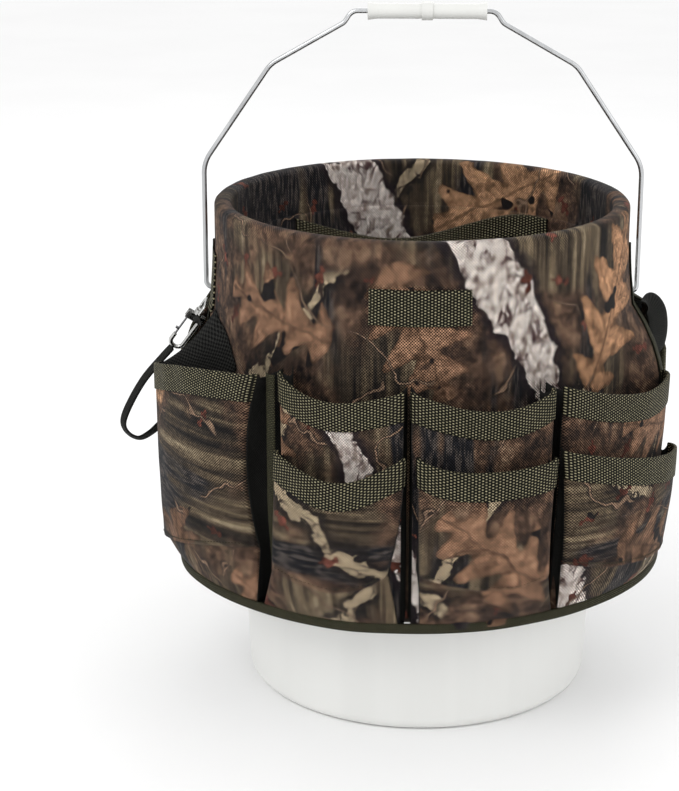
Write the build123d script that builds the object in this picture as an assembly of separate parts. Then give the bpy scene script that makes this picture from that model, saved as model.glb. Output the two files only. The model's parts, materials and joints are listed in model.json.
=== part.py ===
from build123d import *
import math
import os

# Tool bucket organizer: a pocketed fabric apron hung over the rim of a five gallon pail.
# Millimetres, +Z up, origin at the centre of the pail's base, front pockets towards -Y.
# A plan angle is measured about +Z from the front (-Y) towards the right-hand ear (+X).

# --- pail ------------------------------------------------------------------------------
PAIL_HEIGHT = 368.0
PAIL_BASE_R = 131.2
PAIL_SHOULDER_R = 145.0
PAIL_SHOULDER_Z = 340.0
PAIL_CORNER_R = 9.0
PAIL_WALL = 2.3
PAIL_RIM_R = 151.25
PAIL_RIM_DEPTH = 12.0
PAIL_RING_R = 149.5
PAIL_RING_HEIGHTS = (318.0, 336.0)
PAIL_RING_THICK = 2.5
EAR_Z = 302.0
EAR_R = 8.0
EAR_REACH = 156.5
EAR_HOLE_DEPTH = 9.5

# --- bail ------------------------------------------------------------------------------
WIRE_R = 1.85
RUNNING_CLEARANCE = 0.1
# Right half of the bail's centre line as (x, z, bend radius), from the foot to the top.
BAIL_BENDS = (
    (161.5, EAR_Z, 5.0),
    (161.5, 397.0, 26.0),
    (111.5, 470.0, 22.0),
    (57.5, 500.5, 8.0),
    (52.0, 509.0, 8.0),
)
BAIL_FOOT_X = 148.0
GRIP_LENGTH = 86.0
GRIP_OFFSET = 2.5
GRIP_R = 5.65
GRIP_END_R = 6.6
GRIP_END_LENGTH = 7.0
GRIP_RING_R = 6.7
GRIP_RING_LENGTH = 8.0

# --- fabric over the rim and the two aprons -----------------------------------------------
FABRIC = 1.5
RIM_TOP = 373.0
RIM_SKIRT_R = 153.7
RIM_LINING_R = 140.9
RIM_FOLD = 1.8
SKIRT_Z = 341.0
APRON_R = 157.0
HEM_Z = 98.0
SLIT_ANGLE = 86.5
LINING_Z = 170.0
LINING_GAP = 0.3
BINDING = 1.5
BINDING_WIDTH = 10.0
HEM_TAPE = 6.0
HEM_TAPE_DEPTH = 3.0

# --- webbing ------------------------------------------------------------------------------
WEBBING = 1.5
TRIM_DROP = 19.0
BAND_ANGLE = 13.3
BAND_LOW = 315.0
BAND_HIGH = 340.7

# --- outside pockets of one half ------------------------------------------------------------
# Each layer is (left radius, left angle, right radius, right angle, mouth height). The first
# layer reaches the hem; a second one in front of it is folded back to the hem at its foot.
COLUMNS = {
    "tall": ((201.0, -83.5, 190.0, -37.8, 262.0),),
    "left": ((179.0, -34.0, 179.0, -3.8, 268.0), (191.5, -32.6, 191.0, -4.4, 214.0)),
    "middle": ((179.0, -1.6, 180.0, 32.0, 264.0), (191.0, -0.9, 192.0, 30.6, 221.0)),
    "right": ((182.0, 34.6, 185.0, 82.5, 255.0), (199.0, 33.6, 198.5, 82.0, 206.0)),
}
# The back half is the same but for a slimmer tall pocket.
BACK_TALL = ((191.5, -83.5, 190.0, -37.8, 262.0),)
LAYER_NAMES = ("upper", "lower")
FOOT_FOLD_Z = 132.0
TALL_FOLD_Z = 108.0
TALL_HEM_INSET = 12.0
FLOOR = 2.0
# Heights where the side walls next to an ear leave the apron, by column.
WING_TOP = {"tall": 280.0, "right": 283.0}

# --- pockets inside the pail ------------------------------------------------------------------
# Plan points of the inner pocket as (radius, angle from its middle).
INNER_POCKET = ((132.4, -45.0), (120.0, -24.0), (120.0, 24.0), (132.4, 45.0))
INNER_MOUTH = 318.0
INNER_FOOT = 190.0
INNER_TRIM_DROP = 12.0

# --- side hardware -----------------------------------------------------------------------------
TAB_ANGLES = (-86.0, -79.5)
TAB_LOW = 294.0
TAB_HIGH = 335.0
SNAP_TOP = (-165.0, -17.0, 288.0)
SNAP_TIP = (-187.0, -9.0, 257.0)
SNAP_WIRE_R = 1.7
EYE_WIDTH = 15.0
EYE_HEIGHT = 8.5
EYE_WIRE_R = 1.2
COLLAR_R = 3.4
COLLAR_LENGTH = 4.0
SHANK_R = 1.6
HOOK_WIDTH = 10.0
GATE_R = 0.8
GATE_PIN_R = 0.7
LOOP_Y = (-14.0, 13.0)
STRAP_Y = (-14.0, -4.0)
STRAP_THICK = 1.6
STRAP_END_WIDTH = 6.0
STRAP_END_GAP = 6.0


def plan(radius, angle):
    """Plan point at a radius and an angle from the front."""
    turn = math.radians(angle)
    return (radius * math.sin(turn), -radius * math.cos(turn))


def solid_from(plane, points, depth):
    """A flat outline on a plane, thickened along the plane's normal."""
    face = plane * make_face(Polyline(*points, close=True))
    return extrude(face, amount=depth, dir=plane.z_dir)


def upright(start, end, outline, thickness=FABRIC):
    """Upright cloth: outline is (distance from start, height), thickened to the inside."""
    run_x = end[0] - start[0]
    run_y = end[1] - start[1]
    plane = Plane(origin=(*start, 0), x_dir=(run_x, run_y, 0), z_dir=(run_y, -run_x, 0))
    return solid_from(plane, outline, -thickness)


def bar(start, end, section, trim_ends=0.0):
    """A straight bar: section is (outwards, height), run from start to end in plan."""
    run = Vector(end[0] - start[0], end[1] - start[1], 0)
    plane = Plane(origin=(*end, 0), x_dir=(run.Y, -run.X, 0), z_dir=-run)
    plane = plane.offset(trim_ends)
    return solid_from(plane, section, run.length - 2 * trim_ends)


def prism(points, low, high):
    """A plan outline raised between two heights."""
    return solid_from(Plane.XY.offset(low), points, high - low)


def ring_wall(inner, outer, low, high, first, last):
    """Part of a round wall between two plan angles."""
    profile = Plane.XZ * Pos((inner + outer) / 2, (low + high) / 2) * Rectangle(outer - inner, high - low)
    return Rot(0, 0, first - 90) * revolve(profile, Axis.Z, last - first)


def apart(shape, *tools):
    """A shape with other shapes cut away."""
    for tool in tools:
        shape = shape - tool
    return shape


def group(shapes):
    """Separate solids kept together as one node."""
    return Compound(children=[solid for shape in shapes for solid in shape.solids()])


nodes = {}


# --- pail -----------------------------------------------------------------------------------
def wall_radius(height):
    """Outside radius of the tapered wall at a height."""
    taper = (PAIL_SHOULDER_R - PAIL_BASE_R) / (PAIL_SHOULDER_Z - PAIL_CORNER_R)
    return PAIL_BASE_R + (height - PAIL_CORNER_R) * taper


def pail():
    """Tapered wall, flat base, rolled rim, two stiffening rings and two bail ears."""
    top_r = wall_radius(PAIL_HEIGHT)
    corner = PAIL_CORNER_R * (1 - math.sqrt(0.5))
    outline = Polyline((0, 0), (PAIL_BASE_R - PAIL_CORNER_R, 0))
    outline += ThreePointArc(
        (PAIL_BASE_R - PAIL_CORNER_R, 0), (PAIL_BASE_R - corner, corner), (PAIL_BASE_R, PAIL_CORNER_R)
    )
    outline += Polyline(
        (PAIL_BASE_R, PAIL_CORNER_R),
        (top_r, PAIL_HEIGHT),
        (top_r - PAIL_WALL, PAIL_HEIGHT),
        (PAIL_BASE_R - PAIL_WALL, PAIL_CORNER_R),
        (PAIL_BASE_R - PAIL_CORNER_R, PAIL_WALL),
        (0, PAIL_WALL),
        (0, 0),
    )
    body = revolve(Plane.XZ * make_face(outline), Axis.Z, 360)
    rim_low = PAIL_HEIGHT - PAIL_RIM_DEPTH
    body += ring_wall(wall_radius(rim_low) - 1, PAIL_RIM_R, rim_low, PAIL_HEIGHT, 0, 360)
    for height in PAIL_RING_HEIGHTS:
        body += ring_wall(wall_radius(height) - 1, PAIL_RING_R, height, height + PAIL_RING_THICK, 0, 360)
    for side in (-1, 1):
        root = wall_radius(EAR_Z) - 1
        ear = Plane(origin=(side * root, 0, EAR_Z), z_dir=(side, 0, 0)) * Circle(EAR_R)
        body += extrude(ear, amount=EAR_REACH - root, dir=(side, 0, 0))
        mouth = Plane(origin=(side * EAR_REACH, 0, EAR_Z), z_dir=(side, 0, 0))
        hole = extrude(mouth * Circle(WIRE_R + RUNNING_CLEARANCE), amount=EAR_HOLE_DEPTH, dir=(-side, 0, 0))
        body -= hole
    return body


nodes["pail"] = pail()


# --- bail and grip ----------------------------------------------------------------------------
def bail_wire():
    """Round wire bent up from both feet to the raised middle that carries the grip."""
    half = [(x, z) for x, z, _ in BAIL_BENDS]
    radii = [radius for _, _, radius in BAIL_BENDS]
    points = [(BAIL_FOOT_X, EAR_Z), *half]
    points += [(-x, z) for x, z in reversed(points)]
    path = FilletPolyline(*[(x, 0, z) for x, z in points], radius=radii + radii[::-1])
    foot = Plane(origin=(BAIL_FOOT_X, 0, EAR_Z), z_dir=(1, 0, 0))
    return sweep(foot * Circle(WIRE_R), path=path)


def bail_grip():
    """Moulded tube with flared ends and a raised ring in the middle."""
    half = GRIP_LENGTH / 2
    bore = WIRE_R + RUNNING_CLEARANCE
    outline = [(-half, bore), (-half, GRIP_END_R)]
    outline += [(-half + GRIP_END_LENGTH, GRIP_R), (-GRIP_RING_LENGTH / 2, GRIP_R)]
    outline += [(-GRIP_RING_LENGTH / 2, GRIP_RING_R), (GRIP_RING_LENGTH / 2, GRIP_RING_R)]
    outline += [(GRIP_RING_LENGTH / 2, GRIP_R), (half - GRIP_END_LENGTH, GRIP_R)]
    outline += [(half, GRIP_END_R), (half, bore)]
    tube = revolve(Plane.XZ * make_face(Polyline(*outline, close=True)), Axis.X, 360)
    return Pos(GRIP_OFFSET, 0, BAIL_BENDS[-1][1]) * tube


nodes["bail_wire"] = bail_wire()
nodes["bail_grip"] = bail_grip()


# --- rim cover, lining and aprons -----------------------------------------------------------------
def rim_cover():
    """Fabric folded over the pail's rim: outside skirt, rounded top and inside skirt."""
    bend = 4.0
    out_in = RIM_SKIRT_R - RIM_FOLD
    in_out = RIM_LINING_R + FABRIC
    under = RIM_TOP - RIM_FOLD
    outline = [(out_in, SKIRT_Z), (RIM_SKIRT_R, SKIRT_Z), (RIM_SKIRT_R, RIM_TOP - bend)]
    outline += [(RIM_SKIRT_R - bend, RIM_TOP), (RIM_LINING_R + bend, RIM_TOP)]
    outline += [(RIM_LINING_R, RIM_TOP - bend), (RIM_LINING_R, SKIRT_Z), (in_out, SKIRT_Z)]
    outline += [(in_out, RIM_TOP - bend - 0.4), (in_out + bend - 1.5, under)]
    outline += [(out_in - bend + 2.0, under), (out_in, RIM_TOP - bend - 0.4)]
    return revolve(Plane.XZ * make_face(Polyline(*outline, close=True)), Axis.Z, 360)


def lining():
    """Thin skin of fabric down the inside of the wall, from the inside skirt."""
    outer_low = wall_radius(LINING_Z) - PAIL_WALL - LINING_GAP
    outer_high = wall_radius(SKIRT_Z) - PAIL_WALL - LINING_GAP
    outline = [(outer_low - FABRIC, LINING_Z), (outer_low, LINING_Z)]
    outline += [(outer_high, SKIRT_Z), (outer_high - FABRIC, SKIRT_Z)]
    return revolve(Plane.XZ * make_face(Polyline(*outline, close=True)), Axis.Z, 360)


def apron():
    """Front apron: a round curtain between the two slits, from the rim cover to the hem."""
    return ring_wall(APRON_R - FABRIC, APRON_R, HEM_Z, SKIRT_Z, -SLIT_ANGLE, SLIT_ANGLE)


apron_core = ring_wall(0, APRON_R, HEM_Z - HEM_TAPE, RIM_TOP, 0, 360)
nodes["rim_cover"] = rim_cover()
nodes["lining"] = lining()
nodes["front_apron"] = apron()
nodes["back_apron"] = Rot(0, 0, 180) * apron()


# --- outside pockets --------------------------------------------------------------------------------
def face_line(layer):
    """Plan points of a pocket's outside face, left then right."""
    return plan(layer[0], layer[1]), plan(layer[2], layer[3])


def pocket_front(layer, low):
    """Flat cloth front of a pocket, from a height up to its mouth."""
    start, end = face_line(layer)
    length = math.dist(start, end)
    return upright(start, end, [(0, low), (length, low), (length, layer[4]), (0, layer[4])])


def pocket_foot(layer, fold, depth):
    """Cloth from the fold at a pocket's foot, sloping back to the hem."""
    start, end = face_line(layer)
    section = [(0, fold), (-depth, HEM_Z), (-depth - FABRIC, HEM_Z), (-FABRIC, fold)]
    return bar(start, end, section, trim_ends=6.0)


def mouth_trim(layer, front):
    """Webbing folded over the mouth of a pocket."""
    start, end = face_line(layer)
    high = layer[4] + WEBBING
    low = layer[4] - TRIM_DROP
    inside = -FABRIC - WEBBING
    section = [(inside, low), (WEBBING, low), (WEBBING, high), (inside, high)]
    return apart(bar(start, end, section, trim_ends=0.2), front)


def side_wall(inner, outer, low, inner_top, outer_top, foot_rise=0.0):
    """Gusset from a plan point near the apron to a pocket's edge."""
    length = math.dist(inner, outer)
    outline = [(0, low), (length, low + foot_rise), (length, outer_top), (0, inner_top)]
    return upright(inner, outer, outline)


def towards(point, radius):
    """Plan point in the same direction as another, at a radius."""
    scale = radius / math.hypot(*point)
    return (point[0] * scale, point[1] * scale)


def moved(point, other, distance):
    """Plan point shifted towards another by a distance."""
    share = distance / math.dist(point, other)
    return (point[0] + share * (other[0] - point[0]), point[1] + share * (other[1] - point[1]))


def line_depth(outer_layer, inner_layer):
    """Distance between the faces of two layers, at the middle of the outer one."""
    (ax, ay), (bx, by) = face_line(outer_layer)
    (cx, cy), (dx, dy) = face_line(inner_layer)
    mid_x = (ax + bx) / 2
    mid_y = (ay + by) / 2
    run = math.dist((cx, cy), (dx, dy))
    return abs((dx - cx) * (cy - mid_y) - (cx - mid_x) * (dy - cy)) / run


def column(name, layers):
    """All the pieces of one column of pockets, as node name to shape."""
    made = {}
    back = layers[0]
    start, end = face_line(back)
    low = TALL_FOLD_Z if len(layers) == 1 else HEM_Z
    front = pocket_front(back, low)
    pieces = [front]
    if len(layers) == 1:
        pieces.append(apart(pocket_foot(back, TALL_FOLD_Z, TALL_HEM_INSET), front))
    label = name if len(layers) == 1 else name + "_" + LAYER_NAMES[0]
    trim = mouth_trim(back, front)
    made[label + "_pocket"] = group(pieces)
    made[label + "_trim"] = trim

    mouth = back[4]
    wing = WING_TOP.get(name, mouth)
    left_in = towards(start, APRON_R - 4)
    right_in = towards(end, APRON_R - 4)
    left_top = wing if name == "tall" else mouth
    right_top = wing if name == "right" else mouth
    inset = FABRIC + WEBBING + 0.5
    left_wall = side_wall(left_in, moved(start, left_in, inset), HEM_Z, left_top, mouth)
    right_wall = side_wall(moved(end, right_in, inset), right_in, HEM_Z, mouth, right_top)
    floor_in = 0.0 if len(layers) > 1 else TALL_HEM_INSET + FABRIC
    floor = prism(
        [
            towards(start, APRON_R - 12),
            moved(start, left_in, floor_in),
            moved(end, right_in, floor_in),
            towards(end, APRON_R - 12),
        ],
        HEM_Z,
        HEM_Z + FLOOR,
    )
    walls = [apart(wall, apron_core, trim, *pieces) for wall in (left_wall, right_wall)]
    walls.append(apart(floor, apron_core, *pieces, *walls))

    if len(layers) > 1:
        outer = layers[1]
        outer_front = pocket_front(outer, FOOT_FOLD_Z)
        foot = pocket_foot(outer, FOOT_FOLD_Z, line_depth(outer, back) - 0.5)
        foot = apart(foot, outer_front, front).solids().sort_by(SortBy.VOLUME)[-1]
        outer_trim = mouth_trim(outer, outer_front)
        made[name + "_lower_pocket"] = group([outer_front, foot])
        made[name + "_lower_trim"] = outer_trim
        outer_start, outer_end = face_line(outer)
        rise = FOOT_FOLD_Z - HEM_Z
        inner_left = moved(start, end, 2.0)
        inner_right = moved(end, start, 2.0)
        outer_left = moved(outer_start, inner_left, inset)
        outer_right = moved(outer_end, inner_right, inset)
        lower = [
            side_wall(inner_left, outer_left, HEM_Z, outer[4], outer[4], rise),
            side_wall(outer_right, inner_right, FOOT_FOLD_Z, outer[4], outer[4], -rise),
        ]
        walls += [apart(wall, front, trim, outer_front, outer_trim, foot, floor) for wall in lower]
    made[name + "_gussets"] = group(walls)
    return made


def edge_binding(columns):
    """Tape along the hem of one half and up its two slit edges."""
    outer = []
    for name, layers in columns.items():
        inset = TALL_HEM_INSET if name == "tall" else 0.0
        outer += [towards(p, math.hypot(*p) - inset) for p in face_line(layers[0])]
    inner = [towards(p, math.hypot(*p) - HEM_TAPE_DEPTH) for p in outer]
    strips = [prism(outer + inner[::-1], HEM_Z - HEM_TAPE, HEM_Z)]
    width = math.degrees(BINDING_WIDTH / APRON_R)
    top = EAR_Z - EAR_R - 6
    for first in (-SLIT_ANGLE, SLIT_ANGLE - width):
        strips.append(ring_wall(APRON_R, APRON_R + BINDING, HEM_Z, top, first, first + width))
    return strips


BACK_COLUMNS = {**COLUMNS, "tall": BACK_TALL}
for half, turn, half_columns in (("front", 0, COLUMNS), ("back", 180, BACK_COLUMNS)):
    slit_walls = []
    for column_name, column_layers in half_columns.items():
        for node, shape in column(column_name, column_layers).items():
            nodes[half + "_" + node] = Rot(0, 0, turn) * shape
            if node.endswith("gussets"):
                slit_walls.append(shape)
    strips = [apart(strip, *slit_walls) for strip in edge_binding(half_columns)]
    nodes[half + "_edge_binding"] = Rot(0, 0, turn) * group(strips)


# --- webbing band on the front -----------------------------------------------------------------------
nodes["front_web_band"] = ring_wall(
    APRON_R, APRON_R + WEBBING, BAND_LOW, BAND_HIGH, -BAND_ANGLE, BAND_ANGLE
)


# --- pockets inside the pail ---------------------------------------------------------------------------
def inner_strip(depth_in, depth_out, low, high):
    """A bent strip that follows the inner pocket's plan line, as three flat panels."""
    panels = []
    outer = [plan(radius + depth_out, angle) for radius, angle in INNER_POCKET]
    inner = [plan(radius - depth_in, angle) for radius, angle in INNER_POCKET]
    for i in range(len(outer) - 1):
        panels.append(prism([outer[i], outer[i + 1], inner[i + 1], inner[i]], low, high))
    return group(panels)


def inner_floor():
    """Cloth floor between the foot of the inner pocket and the lining."""
    line = [plan(radius, angle) for radius, angle in INNER_POCKET]
    reach = [plan(2 * radius, angle) for radius, angle in (INNER_POCKET[-1], INNER_POCKET[0])]
    room = wall_radius(INNER_FOOT) - PAIL_WALL - LINING_GAP - FABRIC - 0.2
    sheet = prism(line + reach, INNER_FOOT - FABRIC, INNER_FOOT)
    return sheet & ring_wall(0, room, INNER_FOOT - 9, INNER_FOOT + 9, 0, 360)


for half, turn in (("back", 180), ("front", 0)):
    cloth = group([inner_strip(0, FABRIC, INNER_FOOT, INNER_MOUTH), inner_floor()])
    trim = inner_strip(WEBBING, FABRIC + WEBBING, INNER_MOUTH - INNER_TRIM_DROP, INNER_MOUTH + WEBBING)
    nodes[half + "_inner_pocket"] = Rot(0, 0, turn) * cloth
    nodes[half + "_inner_trim"] = Rot(0, 0, turn) * group([apart(trim, cloth)])


# --- snap hook on its tab, left side --------------------------------------------------------------------
def snap_frame():
    """Plane at the top of the snap: local Z points up the hook, local X to its open side."""
    top = Vector(*SNAP_TOP)
    up = (top - Vector(*SNAP_TIP)).normalized()
    outward = Vector(-1, 0, 0)
    across = (outward - up * outward.dot(up)).normalized()
    return Plane(origin=top, x_dir=across, z_dir=up), (top - Vector(*SNAP_TIP)).length


def snap():
    """Tab, wire eye with its collar, swivelling hook, gate, gate pin and gate spring."""
    frame, length = snap_frame()
    where = frame.location
    made = {}
    tab = ring_wall(APRON_R + 0.05, APRON_R + 0.05 + WEBBING, TAB_LOW, TAB_HIGH, *TAB_ANGLES)
    made["snap_tab"] = tab

    # The eye is a closed rectangle of wire, upright over the collar that the shank turns in.
    side = EYE_WIDTH / 2
    eye_path = FilletPolyline(
        (0, -side, 0), (0, side, 0), (0, side, EYE_HEIGHT), (0, -side, EYE_HEIGHT), radius=2.5, close=True
    )
    start = eye_path @ 0
    eye = sweep(Plane(origin=start, z_dir=eye_path % 0) * Circle(EYE_WIRE_R), path=eye_path)
    collar = Pos(0, 0, -COLLAR_LENGTH / 2 + 0.8) * Cylinder(COLLAR_R, COLLAR_LENGTH)
    room = Pos(0, 0, 1.5) * Cylinder(SHANK_R + RUNNING_CLEARANCE, 14)
    made["snap_eye"] = where * ((eye + collar) - room)

    # Hook: shank through the collar, shoulder, straight back limb, round bend and nose.
    low = -COLLAR_LENGTH + 0.8 - 0.4
    bend = -length + SNAP_WIRE_R
    limb = -HOOK_WIDTH / 2
    path = FilletPolyline(
        (limb, 0, low - 3.0),
        (limb, 0, bend),
        (-limb, 0, bend),
        (-limb, 0, bend + 10.0),
        radius=HOOK_WIDTH / 2 - 0.2,
    )
    wire = sweep(Plane(origin=(limb, 0, low - 3.0), z_dir=(0, 0, -1)) * Circle(SNAP_WIRE_R), path=path)
    shoulder = Pos(0, 0, low - 3.0) * Box(HOOK_WIDTH + 2 * SNAP_WIRE_R + 1.2, 4.8, 6.0)
    shank = Pos(0, 0, low + 3.1) * Cylinder(SHANK_R, 7.0)
    head = Pos(0, 0, low + 5.9) * Cylinder(SHANK_R + 1.0, 1.4)
    pivot = (-limb, 0, low - 4.4)
    slot = Pos(-limb, 0, low - 3.6) * Box(5.4, 2.4, 7.0)
    pin_hole = Pos(*pivot) * Rot(90, 0, 0) * Cylinder(GATE_PIN_R + 0.05, 10)
    hook = shoulder + wire + shank + head - slot - pin_hole
    made["snap_hook"] = where * hook

    pin = Pos(*pivot) * Rot(90, 0, 0) * Cylinder(GATE_PIN_R, 4.8)
    made["snap_gate_pin"] = where * pin
    nose_z = bend + 10.0
    gate_length = pivot[2] - nose_z
    gate = Pos(-limb, 0, (pivot[2] + nose_z + 0.3) / 2) * Cylinder(GATE_R, gate_length - 0.3)
    knuckle = Pos(*pivot) * Rot(90, 0, 0) * (Cylinder(1.6, 1.8) - Cylinder(GATE_PIN_R + 0.06, 4))
    gate_bar = gate - Pos(*pivot) * Rot(90, 0, 0) * Cylinder(GATE_PIN_R + 0.06, 4)
    thumb = Pos(-limb + 1.4, 0, nose_z + 5.0) * Box(2.2, 2.0, 1.4)
    made["snap_gate"] = where * (knuckle + gate_bar + thumb)
    coil = Pos(pivot[0] - 1.2, 0, pivot[2] + 2.6) * Rot(90, 0, 0) * Cylinder(0.6, 2.0)
    made["snap_gate_spring"] = where * coil
    world = [where * Pos(*spot) for spot in ((0, 0, 0), pivot)]
    return made, frame, [spot.position for spot in world]


snap_nodes, snap_plane, snap_points = snap()
nodes.update(snap_nodes)
nodes["snap_tab"] = apart(nodes["snap_tab"], nodes["snap_eye"])


# --- webbing strap clipped in the snap, and the loop by the right ear ------------------------------------
def flat_strap(points, radii, side_from, side_to, thickness=STRAP_THICK):
    """Webbing along a path in the XZ plane, its width running front to back."""
    line = FilletPolyline(*points, radius=radii)
    face = Plane(origin=(0, side_to, 0), x_dir=(1, 0, 0), z_dir=(0, -1, 0)) * trace(line, thickness)
    return extrude(face, amount=side_to - side_from, dir=(0, -1, 0))


# The tape strap's route: folded through the hook, hanging in a bight, back to the slit edge.
STRAP_ROUTE = (
    (-187.5, 255.3),
    (-196.0, 248.5),
    (-209.0, 233.0),
    (-222.0, 210.0),
    (-227.5, 195.0),
    (-216.0, 183.5),
    (-199.0, 196.0),
    (-176.0, 206.0),
    (-159.0, 209.0),
)
STRAP_RADII = (30.0, 40.0, 40.0, 9.0, 12.0, 30.0, 40.0)
LOOP_ROUTE = (
    (159.6, 286.0),
    (167.0, 295.0),
    (178.0, 300.0),
    (188.5, 289.0),
    (192.0, 274.0),
    (188.0, 259.0),
    (177.0, 247.0),
    (159.6, 240.0),
)
LOOP_RADII = (12.0, 9.0, 20.0, 25.0, 20.0, 14.0)



def strap_end():
    """The strap's sewn end: two plies and a fold that straddle the bend of the hook."""
    frame, length = snap_frame()
    fold_z = -length + 2 * SNAP_WIRE_R + 2.5
    foot_z = -length - 4.0
    wide = STRAP_END_GAP + 2 * STRAP_THICK
    block = Pos(0, 0, (fold_z + foot_z) / 2) * Box(
        STRAP_END_WIDTH, wide, fold_z - foot_z + 2 * STRAP_THICK
    )
    room = Pos(0, 0, (fold_z + foot_z) / 2) * Box(
        STRAP_END_WIDTH + 1, STRAP_END_GAP, fold_z - foot_z
    )
    return frame.location * (block - room)


nodes["tape_strap"] = flat_strap(STRAP_ROUTE, STRAP_RADII, *STRAP_Y) + strap_end()
nodes["side_web_loop"] = flat_strap(LOOP_ROUTE, LOOP_RADII, *LOOP_Y)


# --- one STEP file per node -----------------------------------------------------------------------------
os.makedirs("parts", exist_ok=True)
for node_name, node_shape in nodes.items():
    export_step(node_shape, os.path.join("parts", node_name + ".step"))
print("nodes written:", len(nodes))
print("snap axis:", tuple(snap_plane.z_dir), "points:", [tuple(p) for p in snap_points])
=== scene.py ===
# %% [markdown]
# # A tool bucket organizer, dressed in cloth
#
# The part is a white five gallon pail with a pocketed fabric apron hung over its rim. The
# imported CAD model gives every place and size. This notebook keeps the hard pieces (pail, bail,
# grip, snap) as they are and gives them finishes, and builds each soft piece again as sewn
# cloth or webbing: curved fronts with sagging mouths, folded trims, dark side gussets and a
# taped hem. All new pieces are grids worked out with numpy.

# %% Load the frame
import json
import math

import bmesh
import bpy
import numpy as np
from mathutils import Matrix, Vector


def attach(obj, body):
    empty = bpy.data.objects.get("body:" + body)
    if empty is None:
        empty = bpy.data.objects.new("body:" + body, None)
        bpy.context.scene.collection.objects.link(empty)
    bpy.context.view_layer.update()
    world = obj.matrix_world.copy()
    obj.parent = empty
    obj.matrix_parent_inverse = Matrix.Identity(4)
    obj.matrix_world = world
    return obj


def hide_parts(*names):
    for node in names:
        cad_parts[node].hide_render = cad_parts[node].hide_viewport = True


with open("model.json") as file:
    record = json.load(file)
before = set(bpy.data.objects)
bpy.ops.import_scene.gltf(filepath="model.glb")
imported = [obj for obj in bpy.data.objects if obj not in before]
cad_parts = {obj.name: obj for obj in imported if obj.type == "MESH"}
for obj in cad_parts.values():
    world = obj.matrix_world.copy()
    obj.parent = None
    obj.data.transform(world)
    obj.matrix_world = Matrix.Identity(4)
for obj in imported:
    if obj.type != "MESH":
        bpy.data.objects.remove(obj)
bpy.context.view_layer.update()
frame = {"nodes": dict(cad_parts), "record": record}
ROOT = "organizer"
MM = 0.001

# %% [markdown]
# ## Camera, light and floor
#
# The camera stands about 1.5 m in front and looks down by some 17 degrees, as a person does
# who is about to pick the pail up. A large soft light above and to the left, a weaker one on
# the right and a white surround give the even light of a product picture.

# %% Camera, light and floor
CAMERA_PLACE = Vector((0.0, -1.499, 0.688))
CAMERA_DOWN = math.radians(17.42)
CAMERA_TURN = math.radians(2.33)
SENSOR = 36.0
LENS = SENSOR * 2054.0 / 791.0


def studio_camera():
    """A camera looking along a direction given by its tilt down and its turn to the left."""
    data = bpy.data.cameras.new("studio_camera")
    data.lens = LENS
    data.sensor_width = SENSOR
    data.clip_end = 100.0
    data.clip_start = 0.05
    camera = bpy.data.objects.new("studio_camera", data)
    ahead = Vector(
        (
            -math.sin(CAMERA_TURN) * math.cos(CAMERA_DOWN),
            math.cos(CAMERA_TURN) * math.cos(CAMERA_DOWN),
            -math.sin(CAMERA_DOWN),
        )
    )
    camera.location = CAMERA_PLACE
    camera.rotation_euler = ahead.to_track_quat("-Z", "Y").to_euler()
    bpy.context.collection.objects.link(camera)
    bpy.context.scene.camera = camera
    return camera


def soft_light(name, place, target, size, power):
    """A square area light turned towards a target."""
    data = bpy.data.lights.new(name, "AREA")
    data.size = size
    data.energy = power
    light = bpy.data.objects.new(name, data)
    light.location = place
    light.rotation_euler = (Vector(target) - Vector(place)).to_track_quat("-Z", "Y").to_euler()
    bpy.context.collection.objects.link(light)
    return light


studio_camera()
MIDDLE = (0.0, 0.0, 0.24)
soft_light("key_light", (-1.1, -1.3, 1.9), MIDDLE, 1.2, 13.0)
soft_light("fill_light", (1.6, -1.0, 1.1), MIDDLE, 1.2, 4.0)
soft_light("back_light", (0.3, 1.6, 1.7), MIDDLE, 1.4, 6.0)

world = bpy.data.worlds.new("studio_world")
bpy.context.scene.world = world
world.use_nodes = True
world.node_tree.nodes["Background"].inputs["Color"].default_value = (1.0, 1.0, 1.0, 1.0)
world.node_tree.nodes["Background"].inputs["Strength"].default_value = 0.97
bpy.context.scene.view_settings.view_transform = "Standard"
print("camera lens", round(LENS, 2), "mm")

# %% [markdown]
# ## Helpers for shader nodes
#
# A material is a graph. Two small helpers keep the graph readable: `join` puts a value or a
# link into a socket, and `node` makes a node with its settings and inputs in one call.


# %% Shader helpers
def join(tree, value, socket):
    """Link an output into a socket, or set the socket when the value is a constant."""
    if isinstance(value, bpy.types.NodeSocket):
        tree.links.new(value, socket)
    elif value is not None:
        socket.default_value = value


def node(tree, kind, inputs=(), **settings):
    """A node of a kind, with its settings, and its inputs given by index or name."""
    made = tree.nodes.new(kind)
    for name, value in settings.items():
        setattr(made, name, value)
    pairs = inputs.items() if isinstance(inputs, dict) else enumerate(inputs)
    for key, value in pairs:
        join(tree, value, made.inputs[key])
    return made


def calc(tree, operation, *values):
    """The output of a Math node."""
    return node(tree, "ShaderNodeMath", values, operation=operation).outputs[0]


def smooth(tree, value, low, high, out_low=0.0, out_high=1.0):
    """A smooth step from out_low at low to out_high at high."""
    inputs = (value, low, high, out_low, out_high)
    made = node(tree, "ShaderNodeMapRange", interpolation_type="SMOOTHSTEP")
    for index, item in enumerate(inputs):
        join(tree, item, made.inputs[index])
    return made.outputs[0]


def blend_colours(tree, factor, first, second, kind="MIX"):
    """Two colours mixed by a factor."""
    made = node(tree, "ShaderNodeMix", data_type="RGBA", blend_type=kind)
    join(tree, factor, made.inputs[0])
    join(tree, first, made.inputs[6])
    join(tree, second, made.inputs[7])
    return made.outputs[2]


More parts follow.
